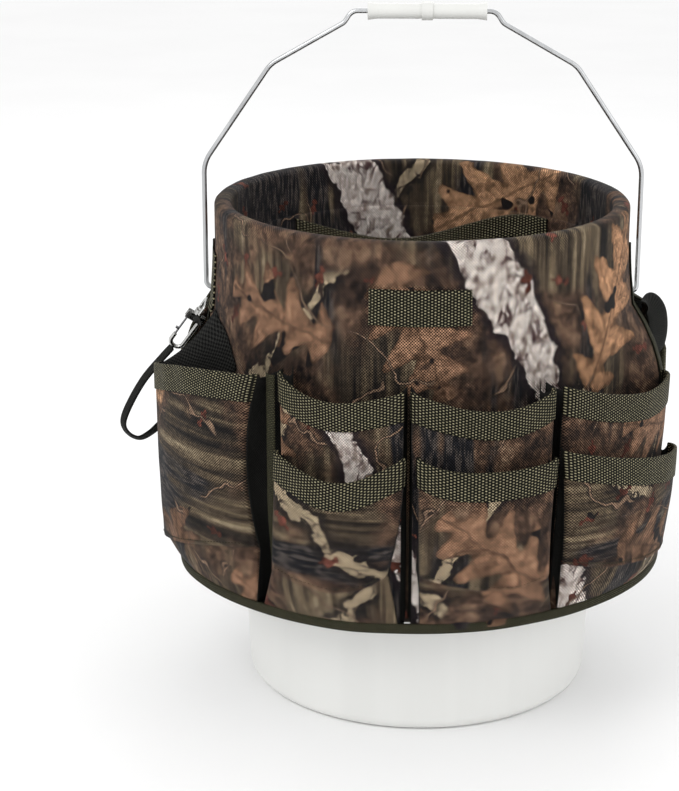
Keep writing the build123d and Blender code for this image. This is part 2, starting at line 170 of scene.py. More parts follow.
def ramp(tree, factor, stops):
    """A colour ramp from (position, colour) stops."""
    made = node(tree, "ShaderNodeValToRGB", (factor,))
    bands = made.color_ramp.elements
    while len(bands) < len(stops):
        bands.new(0.5)
    for band, (place, colour) in zip(bands, stops):
        band.position = place
        band.color = (*colour, 1.0)
    return made.outputs[0]


def noise(tree, vector, scale_u, scale_v, detail=3.0, seed=0.0, rough=0.55):
    """Noise stretched by its own scale along each direction of the cloth."""
    placed = node(tree, "ShaderNodeMapping", (vector,))
    placed.inputs["Scale"].default_value = (scale_u, scale_v, 1.0)
    placed.inputs["Location"].default_value = (seed, seed * 0.37, seed * 1.7)
    inputs = {"Vector": placed.outputs[0], "Scale": 1.0, "Detail": detail, "Roughness": rough}
    return node(tree, "ShaderNodeTexNoise", inputs).outputs[0]


def shader_group(name, inputs, outputs):
    """An empty node group with named sockets, its input node and its output node."""
    tree = bpy.data.node_groups.new(name, "ShaderNodeTree")
    for label, kind, value in inputs:
        socket = tree.interface.new_socket(label, in_out="INPUT", socket_type=kind)
        if value is not None:
            socket.default_value = value
    for label, kind in outputs:
        tree.interface.new_socket(label, in_out="OUTPUT", socket_type=kind)
    return tree, tree.nodes.new("NodeGroupInput"), tree.nodes.new("NodeGroupOutput")


def use_group(tree, group, inputs):
    """A node group placed in a tree, with its inputs given by name."""
    made = tree.nodes.new("ShaderNodeGroup")
    made.node_tree = group
    for name, value in inputs.items():
        join(tree, value, made.inputs[name])
    return made


FLOAT = "NodeSocketFloat"
VECTOR = "NodeSocketVector"
COLOUR = "NodeSocketColor"
print("shader helpers ready")

# %% [markdown]
# ## The woven surfaces
#
# Oxford cloth is a plain weave of flat yarns about a millimetre apart. Close to, it shows as a
# fine checker of raised yarns. A product of two sine waves has that shape, and it costs little.
# Webbing is coarser: columns of loops a little over two millimetres apart, each column half a
# step out from its neighbour. Both groups put out a height, which bends the normal, and a tint,
# which is painted shade in the weave's hollows and painted light on its raised yarns, varied by
# random flecks.


# %% Weave groups
def oxford_weave():
    """Height and tint of a plain weave: the product of a sine along and a sine across; the tint is painted
    shade in the hollows and painted light on the raised yarns.
    """
    tree, start, end = shader_group(
        "oxford_weave",
        [("Cloth", VECTOR, None), ("Pitch", FLOAT, 0.0021)],
        [("Height", FLOAT), ("Tint", FLOAT)],
    )
    parts = node(tree, "ShaderNodeSeparateXYZ", (start.outputs["Cloth"],))
    turns = calc(tree, "DIVIDE", 2 * math.pi, start.outputs["Pitch"])
    slow = noise(tree, start.outputs["Cloth"], 220.0, 220.0, 2.0)
    drift = calc(tree, "MULTIPLY", slow, 2.0)
    along = calc(tree, "SINE", calc(tree, "ADD", calc(tree, "MULTIPLY", parts.outputs[0], turns), drift))
    across = calc(tree, "SINE", calc(tree, "MULTIPLY", parts.outputs[1], turns))
    height = calc(tree, "MULTIPLY", along, across)
    join(tree, height, end.inputs["Height"])
    fleck = noise(tree, start.outputs["Cloth"], 1400.0, 1400.0, 1.0, seed=4.0)
    # painted light on the raised yarns and painted shade in the hollows, from the height, times random
    # flecks
    yarn_light_and_shade = smooth(tree, height, -0.45, 0.45, 0.06, 1.95)
    tint = calc(tree, "MULTIPLY", yarn_light_and_shade, smooth(tree, fleck, 0.3, 0.7, 0.72, 1.28))
    join(tree, tint, end.inputs["Tint"])
    return tree


def webbing_weave():
    """Height and tint of webbing: ribs across the strap, with loops half a step out of line; the tint is
    painted shade between the loops and painted highlight on them.
    """
    tree, start, end = shader_group(
        "webbing_weave",
        [("Cloth", VECTOR, None), ("Rib", FLOAT, 0.0023), ("Loop", FLOAT, 0.0021)],
        [("Height", FLOAT), ("Tint", FLOAT)],
    )
    parts = node(tree, "ShaderNodeSeparateXYZ", (start.outputs["Cloth"],))
    column = calc(tree, "DIVIDE", parts.outputs[0], start.outputs["Rib"])
    row = calc(tree, "DIVIDE", parts.outputs[1], start.outputs["Loop"])
    rib = calc(tree, "ABSOLUTE", calc(tree, "SINE", calc(tree, "MULTIPLY", column, math.pi)))
    shift = calc(tree, "MULTIPLY", calc(tree, "FLOOR", column), 0.5)
    loop = calc(tree, "SINE", calc(tree, "MULTIPLY", calc(tree, "ADD", row, shift), 2 * math.pi))
    raised = smooth(tree, loop, -0.6, 0.9)
    height = calc(tree, "MULTIPLY", rib, calc(tree, "ADD", calc(tree, "MULTIPLY", raised, 0.75), 0.25))
    join(tree, height, end.inputs["Height"])
    fleck = noise(tree, start.outputs["Cloth"], 900.0, 900.0, 2.0, seed=9.0)
    worn = smooth(tree, fleck, 0.35, 0.65, 0.45, 1.0)
    # painted shade between the loops and painted highlight on their tops, times random flecks
    tint = calc(tree, "MULTIPLY", smooth(tree, height, 0.45, 0.90), worn)
    join(tree, tint, end.inputs["Tint"])
    return tree


OXFORD = oxford_weave()
WEBBED = webbing_weave()
print("weaves:", OXFORD.name, WEBBED.name)

# %% [markdown]
# ## A woodland print
#
# The cloth carries a printed forest: blurred upright trunks far away, pale peeling bark,
# fallen leaves and twigs in front. It is a print of its own here, made from rules. Far things
# come first and nearer things are laid over them, each with a mask. Leaves are scattered by a
# Voronoi texture: each cell gives a middle and a random turn, and a leaf outline is a width
# that swells and pinches along the leaf's length.


# %% Leaves, bark and twigs
def leaf_shape():
    """A lobed leaf: inside where |y| is under a width with lobes along x, veins from x - |y|."""
    tree, start, end = shader_group(
        "leaf_shape",
        [("Local", VECTOR, None), ("Length", FLOAT, 0.05), ("Width", FLOAT, 0.03), ("Lobes", FLOAT, 2.5)],
        [("Mask", FLOAT), ("Vein", FLOAT), ("Edge", FLOAT)],
    )
    parts = node(tree, "ShaderNodeSeparateXYZ", (start.outputs["Local"],))
    x = calc(tree, "DIVIDE", parts.outputs[0], start.outputs["Length"])
    y = calc(tree, "ABSOLUTE", calc(tree, "DIVIDE", parts.outputs[1], start.outputs["Width"]))
    full = calc(tree, "SUBTRACT", 1.0, calc(tree, "MULTIPLY", x, x))
    swell = calc(tree, "SQRT", calc(tree, "MAXIMUM", full, 0.0))
    slant = calc(tree, "SUBTRACT", x, calc(tree, "MULTIPLY", y, 0.35))
    waves = calc(tree, "MULTIPLY", slant, start.outputs["Lobes"])
    lobe = calc(tree, "COSINE", calc(tree, "MULTIPLY", waves, 2.2 * math.pi))
    width = calc(tree, "MULTIPLY", swell, calc(tree, "ADD", calc(tree, "MULTIPLY", lobe, 0.34), 0.60))
    gap = calc(tree, "SUBTRACT", width, y)
    join(tree, smooth(tree, gap, 0.0, 0.03), end.inputs["Mask"])
    middle = smooth(tree, y, 0.012, 0.04, 1.0, 0.0)
    comb = calc(tree, "ABSOLUTE", calc(tree, "SINE", calc(tree, "MULTIPLY", slant, 2.6 * math.pi)))
    side = smooth(tree, comb, 0.02, 0.09, 0.8, 0.0)
    join(tree, calc(tree, "MAXIMUM", middle, side), end.inputs["Vein"])
    join(tree, smooth(tree, gap, 0.0, 0.22, 0.45, 1.0), end.inputs["Edge"])
    return tree


LEAF = leaf_shape()


print("leaf outline:", LEAF.name)

# %% [markdown]
# ## Strewing the leaves
#
# A floor of leaves needs each one turned its own way. Voronoi cells give a middle and three
# random numbers for free, so one leaf outline serves them all: one number turns it, one decides
# whether it is there, and one sets how light it is.


# %% Leaf scatter
def leaf_scatter():
    """Leaves strewn by Voronoi cells, each turned by its own angle and some left out."""
    tree, start, end = shader_group(
        "leaf_scatter",
        [
            ("Cloth", VECTOR, None),
            ("Spacing", FLOAT, 0.15),
            ("Length", FLOAT, 0.05),
            ("Width", FLOAT, 0.03),
            ("Lobes", FLOAT, 2.5),
            ("Share", FLOAT, 0.5),
        ],
        [("Mask", FLOAT), ("Vein", FLOAT), ("Shade", FLOAT)],
    )
    cloth = start.outputs["Cloth"]
    rate = calc(tree, "DIVIDE", 1.0, start.outputs["Spacing"])
    cells = node(tree, "ShaderNodeTexVoronoi", voronoi_dimensions="2D")
    join(tree, cloth, cells.inputs["Vector"])
    join(tree, rate, cells.inputs["Scale"])
    cells.inputs["Randomness"].default_value = 0.8
    ends = (cloth, cells.outputs["Position"])
    away = node(tree, "ShaderNodeVectorMath", ends, operation="SUBTRACT").outputs[0]
    dice = node(tree, "ShaderNodeSeparateColor", (cells.outputs["Color"],))
    turned = node(tree, "ShaderNodeVectorRotate", rotation_type="Z_AXIS")
    join(tree, away, turned.inputs["Vector"])
    join(tree, calc(tree, "MULTIPLY", dice.outputs[0], 2 * math.pi), turned.inputs["Angle"])
    inputs = {name: start.outputs[name] for name in ("Length", "Width", "Lobes")}
    leaf = use_group(tree, LEAF, {"Local": turned.outputs[0], **inputs})
    picked = calc(tree, "LESS_THAN", dice.outputs[1], start.outputs["Share"])
    join(tree, calc(tree, "MULTIPLY", leaf.outputs["Mask"], picked), end.inputs["Mask"])
    join(tree, leaf.outputs["Vein"], end.inputs["Vein"])
    tone = calc(tree, "ADD", calc(tree, "MULTIPLY", dice.outputs[2], 0.6), 0.5)
    join(tree, calc(tree, "MULTIPLY", leaf.outputs["Edge"], tone), end.inputs["Shade"])
    return tree


print("leaf scatter ready")

# %% [markdown]
# ## Bark
#
# Birch bark is a pale band with a ragged edge and dark cracks. The distance across a slanted
# line, shaken by noise, says how far a place is from the middle of the nearest band.


# %% Bark bands
def bark_band():
    """Parallel ragged bands: the distance across them, folded by a period, under a width."""
    tree, start, end = shader_group(
        "bark_band",
        [
            ("Cloth", VECTOR, None),
            ("Across", VECTOR, (0.9, 0.43, 0.0)),
            ("Shift", FLOAT, 0.0),
            ("Period", FLOAT, 0.3),
            ("Width", FLOAT, 0.018),
            ("Ragged", FLOAT, 0.02),
        ],
        [("Mask", FLOAT), ("Shadow", FLOAT), ("Crack", FLOAT)],
    )
    cloth = start.outputs["Cloth"]
    line = node(tree, "ShaderNodeVectorMath", (cloth, start.outputs["Across"]), operation="DOT_PRODUCT")
    wobble = noise(tree, cloth, 28.0, 28.0, 5.0, seed=6.0, rough=0.65)
    wobble = calc(tree, "MULTIPLY", calc(tree, "SUBTRACT", wobble, 0.5), start.outputs["Ragged"])
    place = calc(tree, "ADD", calc(tree, "ADD", line.outputs["Value"], wobble), start.outputs["Shift"])
    folded = calc(tree, "PINGPONG", place, calc(tree, "MULTIPLY", start.outputs["Period"], 0.5))
    inner = calc(tree, "SUBTRACT", start.outputs["Width"], folded)
    join(tree, smooth(tree, inner, 0.0, 0.0012), end.inputs["Mask"])
    join(tree, smooth(tree, inner, -0.009, -0.002), end.inputs["Shadow"])
    chips = node(tree, "ShaderNodeTexVoronoi", feature="DISTANCE_TO_EDGE")
    bent = node(tree, "ShaderNodeMapping", (cloth,))
    bent.inputs["Scale"].default_value = (190.0, 75.0, 1.0)
    join(tree, bent.outputs[0], chips.inputs["Vector"])
    chips.inputs["Scale"].default_value = 1.0
    patchy = noise(tree, cloth, 90.0, 45.0, 4.0, seed=3.0)
    fine = smooth(tree, chips.outputs["Distance"], 0.02, 0.09, 1.0, 0.0)
    crack = calc(tree, "MULTIPLY", fine, smooth(tree, patchy, 0.42, 0.58))
    spots = smooth(tree, patchy, 0.62, 0.68)
    join(tree, calc(tree, "MAXIMUM", crack, spots), end.inputs["Crack"])
    return tree


LEAVES = leaf_scatter()
BARK = bark_band()


print("bark and leaves:", BARK.name, LEAVES.name)

# %% [markdown]
# ## The layers of the print
#
# The print is put together from the back to the front. Each layer takes the colour so far and
# covers part of it through a mask, as a screen printer would lay one ink on another.


# %% Woodland print
DARK = (0.011, 0.009, 0.009, 1.0)


def far_layers(tree, cloth):
    """Streaks of far trunks, leaf litter where a slow noise is high, and dark bark."""
    streak = noise(tree, cloth, 120.0, 6.0, 5.0, seed=1.0, rough=0.6)
    colour = ramp(
        tree,
        streak,
        [
            (0.34, (0.007, 0.006, 0.006)),
            (0.44, (0.026, 0.020, 0.015)),
            (0.52, (0.066, 0.048, 0.031)),
            (0.60, (0.135, 0.102, 0.064)),
            (0.72, (0.270, 0.215, 0.140)),
        ],
    )
    litter = ramp(
        tree,
        noise(tree, cloth, 62.0, 48.0, 8.0, seed=11.0, rough=0.74),
        [
            (0.36, (0.008, 0.006, 0.006)),
            (0.47, (0.040, 0.025, 0.018)),
            (0.55, (0.098, 0.056, 0.036)),
            (0.66, (0.215, 0.140, 0.090)),
        ],
    )
    where = noise(tree, cloth, 9.0, 11.0, 3.0, seed=21.0)
    colour = blend_colours(tree, smooth(tree, where, 0.44, 0.54), colour, litter)
    trunk = smooth(tree, noise(tree, cloth, 19.0, 3.0, 3.0, seed=31.0), 0.55, 0.60)
    fibres = noise(tree, cloth, 420.0, 60.0, 4.0, seed=33.0)
    lit = smooth(tree, fibres, 0.45, 0.62)
    bark = blend_colours(tree, lit, (0.009, 0.009, 0.011, 1.0), (0.060, 0.050, 0.045, 1.0))
    return blend_colours(tree, trunk, colour, bark)


def limbs_over(tree, cloth, bent, colour):
    """Thin pale limbs with a dark edge, shown where a slow noise is high."""
    sizes = {"Shift": 0.05, "Period": 0.21, "Width": 0.0050, "Ragged": 0.045}
    limbs = use_group(tree, BARK, {"Cloth": bent, "Across": (0.80, -0.60, 0.0), **sizes})
    shown = smooth(tree, noise(tree, cloth, 9.0, 9.0, 1.0, seed=41.0), 0.46, 0.50)
    shade = calc(tree, "MULTIPLY", limbs.outputs["Shadow"], shown)
    colour = blend_colours(tree, calc(tree, "MULTIPLY", shade, 0.85), colour, DARK)
    limb = blend_colours(tree, limbs.outputs["Crack"], (0.30, 0.235, 0.155, 1.0), (0.030, 0.020, 0.016, 1.0))
    return blend_colours(tree, calc(tree, "MULTIPLY", limbs.outputs["Mask"], shown), colour, limb)


def birch_over(tree, cloth, bent, colour):
    """White bark bands that widen upwards, mottled and cracked, with a dark edge."""
    upright = node(tree, "ShaderNodeSeparateXYZ", (cloth,)).outputs[1]
    band = use_group(
        tree,
        BARK,
        {
            "Cloth": bent,
            "Across": (0.889, 0.457, 0.0),
            "Shift": -0.206,
            "Period": 0.46,
            "Width": smooth(tree, upright, 0.25, 0.37, 0.011, 0.022),
            "Ragged": 0.026,
        },
    )
    shade = calc(tree, "MULTIPLY", band.outputs["Shadow"], 0.9)
    colour = blend_colours(tree, shade, colour, (0.014, 0.010, 0.012, 1.0))
    mottled = noise(tree, cloth, 170.0, 110.0, 6.0, seed=51.0, rough=0.7)
    pale = ramp(
        tree,
        mottled,
        [
            (0.32, (0.070, 0.045, 0.042)),
            (0.41, (0.230, 0.180, 0.155)),
            (0.50, (0.500, 0.440, 0.400)),
            (0.64, (0.640, 0.585, 0.540)),
        ],
    )
    pale = blend_colours(tree, band.outputs["Crack"], pale, (0.050, 0.026, 0.026, 1.0))
    return blend_colours(tree, band.outputs["Mask"], colour, pale)


def leaves_over(tree, cloth, bent, colour):
    """Small and large leaves strewn about, then two placed at given spots, mottled, veined and holed."""
    strewn = (
        (0.034, 0.0085, 0.0050, 0.9, 0.38, (0.150, 0.050, 0.034), 71.0),
        (0.155, 0.0520, 0.0380, 1.9, 0.42, (0.260, 0.145, 0.088), 61.0),
    )
    placed = (
        ((0.170, 0.312), -1.05, (0.068, 0.050), (0.400, 0.215, 0.115)),
        ((0.4155, 0.4100), -0.45, (0.066, 0.048), (0.400, 0.225, 0.125)),
    )
    leaves = []
    for spacing, length, width, lobes, share, tint, seed in strewn:
        moved = node(tree, "ShaderNodeMapping", (bent,))
        moved.inputs["Location"].default_value = (seed * 0.0131, seed * 0.0077, 0.0)
        sizes = {"Spacing": spacing, "Length": length, "Width": width, "Lobes": lobes, "Share": share}
        leaf = use_group(tree, LEAVES, {"Cloth": moved.outputs[0], **sizes})
        leaves.append((leaf.outputs["Mask"], leaf.outputs["Vein"], leaf.outputs["Shade"], tint, seed))
    for middle, turn, (length, width), tint in placed:
        away = node(tree, "ShaderNodeVectorMath", (bent, (*middle, 0.0)), operation="SUBTRACT").outputs[0]
        turned = node(tree, "ShaderNodeVectorRotate", rotation_type="Z_AXIS")
        join(tree, away, turned.inputs["Vector"])
        turned.inputs["Angle"].default_value = turn
        sizes = {"Length": length, "Width": width, "Lobes": 1.9}
        leaf = use_group(tree, LEAF, {"Local": turned.outputs[0], **sizes})
        leaves.append((leaf.outputs["Mask"], leaf.outputs["Vein"], leaf.outputs["Edge"], tint, 66.0))
    for mask, veins, edge, tint, seed in leaves:
        blotches = noise(tree, cloth, 95.0, 95.0, 6.0, seed=seed, rough=0.7)
        mottle = smooth(tree, blotches, 0.32, 0.68, 0.35, 1.3)
        body = blend_colours(tree, 1.0, (*tint, 1.0), calc(tree, "MULTIPLY", edge, mottle), "MULTIPLY")
        vein_colour = tuple(c * 0.22 for c in tint) + (1.0,)
        body = blend_colours(tree, calc(tree, "MULTIPLY", veins, 0.7), body, vein_colour)
        holes = smooth(tree, noise(tree, cloth, 30.0, 30.0, 2.0, seed=seed + 7.0), 0.62, 0.64)
        body = blend_colours(tree, holes, body, DARK)
        colour = blend_colours(tree, mask, colour, body)
    return colour


def twigs_over(tree, cloth, colour):
    """Thin curled lines: distance from a bent line, folded by a period, light inside dark."""
    rows = (((0.55, 0.83, 0.0), 0.047, 0.11, 91.0), ((0.83, -0.35, 0.0), 0.039, 0.09, 95.0))
    for along, period, curl, seed in rows:
        curve = noise(tree, cloth, 14.0, 14.0, 3.0, seed=seed - 10.0)
        line = node(tree, "ShaderNodeVectorMath", (cloth, along), operation="DOT_PRODUCT")
        place = calc(tree, "ADD", line.outputs["Value"], calc(tree, "MULTIPLY", curve, curl))
        twig = calc(tree, "PINGPONG", place, period)
        here = smooth(tree, noise(tree, cloth, 12.0, 12.0, 2.0, seed=seed), 0.50, 0.53)
        dark = calc(tree, "MULTIPLY", smooth(tree, twig, 0.0010, 0.0023, 1.0, 0.0), here)
        light = calc(tree, "MULTIPLY", smooth(tree, twig, 0.0004, 0.0010, 1.0, 0.0), here)
        colour = blend_colours(tree, calc(tree, "MULTIPLY", dark, 0.85), colour, DARK)
        colour = blend_colours(tree, light, colour, (0.185, 0.120, 0.080, 1.0))
    return colour


def woodland_print():
    """Cloth place to colour: far layers, limbs, birch, leaves and twigs, then a fine grain."""
    tree, start, end = shader_group("woodland_print", [("Cloth", VECTOR, None)], [("Color", COLOUR)])
    cloth = start.outputs["Cloth"]
    drift = calc(tree, "SUBTRACT", noise(tree, cloth, 70.0, 70.0, 4.0, seed=2.0), 0.5)
    warp = calc(tree, "MULTIPLY", drift, 0.010)
    bent = node(tree, "ShaderNodeVectorMath", (cloth, warp), operation="ADD").outputs[0]
    colour = far_layers(tree, cloth)
    colour = limbs_over(tree, cloth, bent, colour)
    colour = birch_over(tree, cloth, bent, colour)
    colour = leaves_over(tree, cloth, bent, colour)
    colour = twigs_over(tree, cloth, colour)
    grain = smooth(tree, noise(tree, cloth, 260.0, 260.0, 4.0, seed=97.0, rough=0.7), 0.3, 0.7, 0.6, 1.3)
    colour = blend_colours(tree, 1.0, colour, grain, "MULTIPLY")
    join(tree, colour, end.inputs["Color"])
    return tree


PRINT = woodland_print()
print("print group nodes:", len(PRINT.nodes))

# %% [markdown]
# ## Finishes
#
# Cloth is rough and scatters light with a faint sheen from loose fibres. Each cloth material
# multiplies its colour by the weave's tint, which is painted light and shade, and bends its
# normal with the weave's height.


# %% Materials
def new_material(name):
    """A material with a Principled BSDF, its tree and its shader node."""
    material = bpy.data.materials.new(name)
    material.use_nodes = True
    tree = material.node_tree
    return material, tree, tree.nodes["Principled BSDF"]


def cloth_place(tree):
    """The cloth's own flat coordinates in metres, from the piece's UV map."""
    return node(tree, "ShaderNodeUVMap", uv_map="cloth").outputs[0]


def bump(tree, height, distance, strength=1.0):
    """A normal bent by a height in metres."""
    inputs = {"Strength": strength, "Distance": distance, "Height": height}
    return node(tree, "ShaderNodeBump", inputs).outputs[0]


def printed_cloth(name, shade_factor=1.0):
    """Oxford cloth with the woodland print; its second argument darkens all of it as painted shade."""
    material, tree, shader = new_material(name)
    place = cloth_place(tree)
    weave = use_group(tree, OXFORD, {"Cloth": place, "Pitch": 0.0021})
    image = use_group(tree, PRINT, {"Cloth": place})
    tint = calc(tree, "MULTIPLY", weave.outputs["Tint"], shade_factor)
    colour = blend_colours(tree, 1.0, image.outputs["Color"], tint, "MULTIPLY")
    join(tree, colour, shader.inputs["Base Color"])
    join(tree, bump(tree, weave.outputs["Height"], 0.00012, 0.7), shader.inputs["Normal"])
    shader.inputs["Roughness"].default_value = 0.82
    shader.inputs["Specular IOR Level"].default_value = 0.1
    shader.inputs["Sheen Weight"].default_value = 0.03
    shader.inputs["Sheen Roughness"].default_value = 0.5
    return material


def plain_cloth(name, colour, pitch=0.0021):
    """Oxford cloth of one dye, with random blotches and the weave's painted light and shade."""
    material, tree, shader = new_material(name)
    place = cloth_place(tree)
    weave = use_group(tree, OXFORD, {"Cloth": place, "Pitch": pitch})
    shade = smooth(tree, noise(tree, place, 18.0, 14.0, 3.0, seed=5.0), 0.3, 0.7, 0.7, 1.25)
    tint = calc(tree, "MULTIPLY", weave.outputs["Tint"], shade)
    dyed = blend_colours(tree, 1.0, (*colour, 1.0), tint, "MULTIPLY")
    join(tree, dyed, shader.inputs["Base Color"])
    join(tree, bump(tree, weave.outputs["Height"], 0.00012, 0.7), shader.inputs["Normal"])
    shader.inputs["Roughness"].default_value = 0.85
    shader.inputs["Specular IOR Level"].default_value = 0.1
    return material


print("cloth finishes ready")

# %% [markdown]
# ## Webbing, plastic and metal
#
# Webbing has painted shade between its loops and painted highlights on them. Moulded plastic is
# nearly smooth, with a faint skin like orange peel. Zinc wire shines and has fine drawn lines,
# which noise in its roughness gives.


# %% Hard and webbed finishes
def webbing(name, low, high, rib=0.0023, loop=0.0021, depth=0.0005):
    """Woven strap: painted shade between the loops, painted highlights on top of them."""
    material, tree, shader = new_material(name)
    place = cloth_place(tree)
    weave = use_group(tree, WEBBED, {"Cloth": place, "Rib": rib, "Loop": loop})
    colour = blend_colours(tree, weave.outputs["Tint"], (*low, 1.0), (*high, 1.0))
    join(tree, colour, shader.inputs["Base Color"])
    join(tree, bump(tree, weave.outputs["Height"], depth, 0.9), shader.inputs["Normal"])
    shader.inputs["Roughness"].default_value = 0.72
    shader.inputs["Specular IOR Level"].default_value = 0.1
    return material


def moulded_plastic(name, colour, rough, scale, depth):
    """Moulded plastic: a faint orange-peel surface and fine scuffs in the gloss."""
    material, tree, shader = new_material(name)
    place = node(tree, "ShaderNodeTexCoord").outputs["Object"]
    peel = noise(tree, place, scale, scale, 3.0)
    haze = noise(tree, place, 30.0, 8.0, 4.0, seed=7.0)
    tone = smooth(tree, haze, 0.3, 0.7, 0.965, 1.0)
    join(tree, blend_colours(tree, 1.0, (*colour, 1.0), tone, "MULTIPLY"), shader.inputs["Base Color"])
    join(tree, smooth(tree, haze, 0.3, 0.7, rough - 0.05, rough + 0.08), shader.inputs["Roughness"])
    join(tree, bump(tree, peel, depth, 0.5), shader.inputs["Normal"])
    shader.inputs["Subsurface Weight"].default_value = 0.0
    return material


def bare_metal(name, colour, rough, streak=300.0):
    """Plated metal: drawn lines in the roughness and dull patches in the colour."""
    material, tree, shader = new_material(name)
    place = node(tree, "ShaderNodeTexCoord").outputs["Object"]
    lines = noise(tree, place, streak, streak, 4.0)
    patches = noise(tree, place, 60.0, 60.0, 3.0, seed=3.0)
    join(tree, smooth(tree, lines, 0.25, 0.75, rough - 0.08, rough + 0.14), shader.inputs["Roughness"])
    tone = smooth(tree, patches, 0.3, 0.7, 0.72, 1.0)
    join(tree, blend_colours(tree, 1.0, (*colour, 1.0), tone, "MULTIPLY"), shader.inputs["Base Color"])
    join(tree, bump(tree, lines, 0.00003, 0.4), shader.inputs["Normal"])
    shader.inputs["Metallic"].default_value = 1.0
    return material


print("hard finishes ready")

# %% [markdown]
# ## The finishes of this organizer
#
# One table names every finish, so that a colour is changed in one place. The cloth and the
# webbing are dark, so their shine is kept low: real yarns shade each other. The first colour of
# each webbing is painted shade between its loops.


# %% Finish table
FINISH = {
    "printed_cloth": printed_cloth("printed_cloth"),
    # The lining is the same cloth as the rim fold, its print darkened by 0.92 as painted shade for the
    # inside of the pail.
    "lining_cloth": printed_cloth("lining_cloth", shade_factor=0.92),
    # The gusset cloth is near black: partly the real dark side cloth, partly painted shade over shaded apron
    # and in the gaps between columns.
    "gusset_cloth": plain_cloth("gusset_cloth", (0.012, 0.012, 0.011)),
    # Each webbing's first colour is painted shade between the loops, its second its colour with painted
    # highlights.
    "olive_webbing": webbing("olive_webbing", (0.005, 0.005, 0.003), (0.400, 0.362, 0.225)),
    "olive_tape": webbing(
        "olive_tape", (0.009, 0.009, 0.005), (0.150, 0.140, 0.080), rib=0.0013, loop=0.0011, depth=0.0002
    ),
    # The tape strap is dark webbing; on the hammer loop the same finish is painted shade on olive webbing.
    "dark_webbing": webbing("dark_webbing", (0.004, 0.004, 0.004), (0.040, 0.042, 0.032), 0.0016, 0.0013),
    "pail_plastic": moulded_plastic("pail_plastic", (0.79, 0.792, 0.77), 0.42, 900.0, 0.00004),
    "grip_plastic": moulded_plastic("grip_plastic", (0.74, 0.742, 0.715), 0.30, 1200.0, 0.00003),
    "zinc_wire": bare_metal("zinc_wire", (0.64, 0.65, 0.66), 0.26),
    "snap_metal": bare_metal("snap_metal", (0.66, 0.66, 0.64), 0.22),
    "spring_steel": bare_metal("spring_steel", (0.30, 0.30, 0.31), 0.32),
}
THREAD = plain_cloth("sewing_thread", (0.030, 0.030, 0.020), 0.0004)
print("finishes:", len(FINISH))


def studio_floor():
    """A wide pale floor, which isn't part of the object."""
    data = bpy.data.meshes.new("studio_floor")
    reach = 40.0
    corners = [(-reach, -reach, 0), (reach, -reach, 0), (reach, reach, 0), (-reach, reach, 0)]
    data.from_pydata(corners, [], [(0, 1, 2, 3)])
    material, tree, shader = new_material("studio_floor")
    place = node(tree, "ShaderNodeTexCoord").outputs["Object"]
    tone = smooth(tree, noise(tree, place, 3.0, 3.0), 0.3, 0.7, 0.96, 0.98)
    join(tree, blend_colours(tree, 1.0, (1.0, 1.0, 1.0, 1.0), tone, "MULTIPLY"), shader.inputs["Base Color"])
    shader.inputs["Roughness"].default_value = 0.9
    data.materials.append(material)
    floor = bpy.data.objects.new("studio_floor", data)
    bpy.context.collection.objects.link(floor)


studio_floor()

# %% [markdown]
# ## The hard pieces keep their CAD shape
#
# The pail, the wire, the grip and the snap are already right, so each only gets its finish.

# %% Finishes on the CAD pieces
SNAP = ("snap_eye", "snap_hook", "snap_gate", "snap_gate_pin", "snap_gate_spring")
KEPT = ("pail", "bail_wire", "bail_grip", *SNAP)
SLOT_OF = {row["node"]: row["material_slot"] for row in frame["record"]["subparts"]}
for name in KEPT:
    piece = frame["nodes"][name]
    piece.data.materials.clear()
    piece.data.materials.append(FINISH[SLOT_OF[name]])
print("kept:", len(KEPT))

# %% [markdown]
# ## Grids of points
#
# Every soft piece is a rectangular grid of points. `cloth_piece` turns an array of places and
# an array of flat cloth coordinates into a mesh, gives it a thickness, puts it on the body
# that carries it and says which CAD solids it stands for.


# %% Mesh helpers
def grid_faces(rows, columns, closed=False):
    """Corner indices of every quad of a grid, and of the flat coordinates of each corner."""
    i, j = np.meshgrid(np.arange(rows if closed else rows - 1), np.arange(columns - 1), indexing="ij")
    i = i.ravel()
    j = j.ravel()
    after = (i + 1) % rows if closed else i + 1
    here, beside, flat_beside = i * columns + j, after * columns + j, (i + 1) * columns + j
    corners = np.stack([here, beside, beside + 1, here + 1], 1)
    flat = np.stack([here, flat_beside, flat_beside + 1, here + 1], 1)
    return corners, flat


def mesh_from(name, points, faces, flat_places, material, smooth_shading=True):
    """A mesh object from arrays, with the UV map "cloth" given for each face corner."""
    data = bpy.data.meshes.new(name)
    data.from_pydata(points.tolist(), [], faces.tolist())
    layer = data.uv_layers.new(name="cloth")
    layer.data.foreach_set("uv", flat_places.astype(np.float32).ravel())
    data.polygons.foreach_set("use_smooth", np.full(len(data.polygons), smooth_shading))
    data.materials.append(material)
    data.update()
    made = bpy.data.objects.new(name, data)
    bpy.context.collection.objects.link(made)
    return made


def place_piece(made, nodes=(), body=ROOT):
    """Put a finished piece on its body and the CAD solids it replaces."""
    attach(made, body)
    if nodes:
        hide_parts(*nodes)
    return made


def weld(data):
    """Merge the places of a closed strap that coincide and turn its faces outwards."""
    shape = bmesh.new()
    shape.from_mesh(data)
    bmesh.ops.remove_doubles(shape, verts=shape.verts, dist=1e-6)
    bmesh.ops.recalc_face_normals(shape, faces=shape.faces)
    shape.to_mesh(data)
    shape.free()
    data.update()


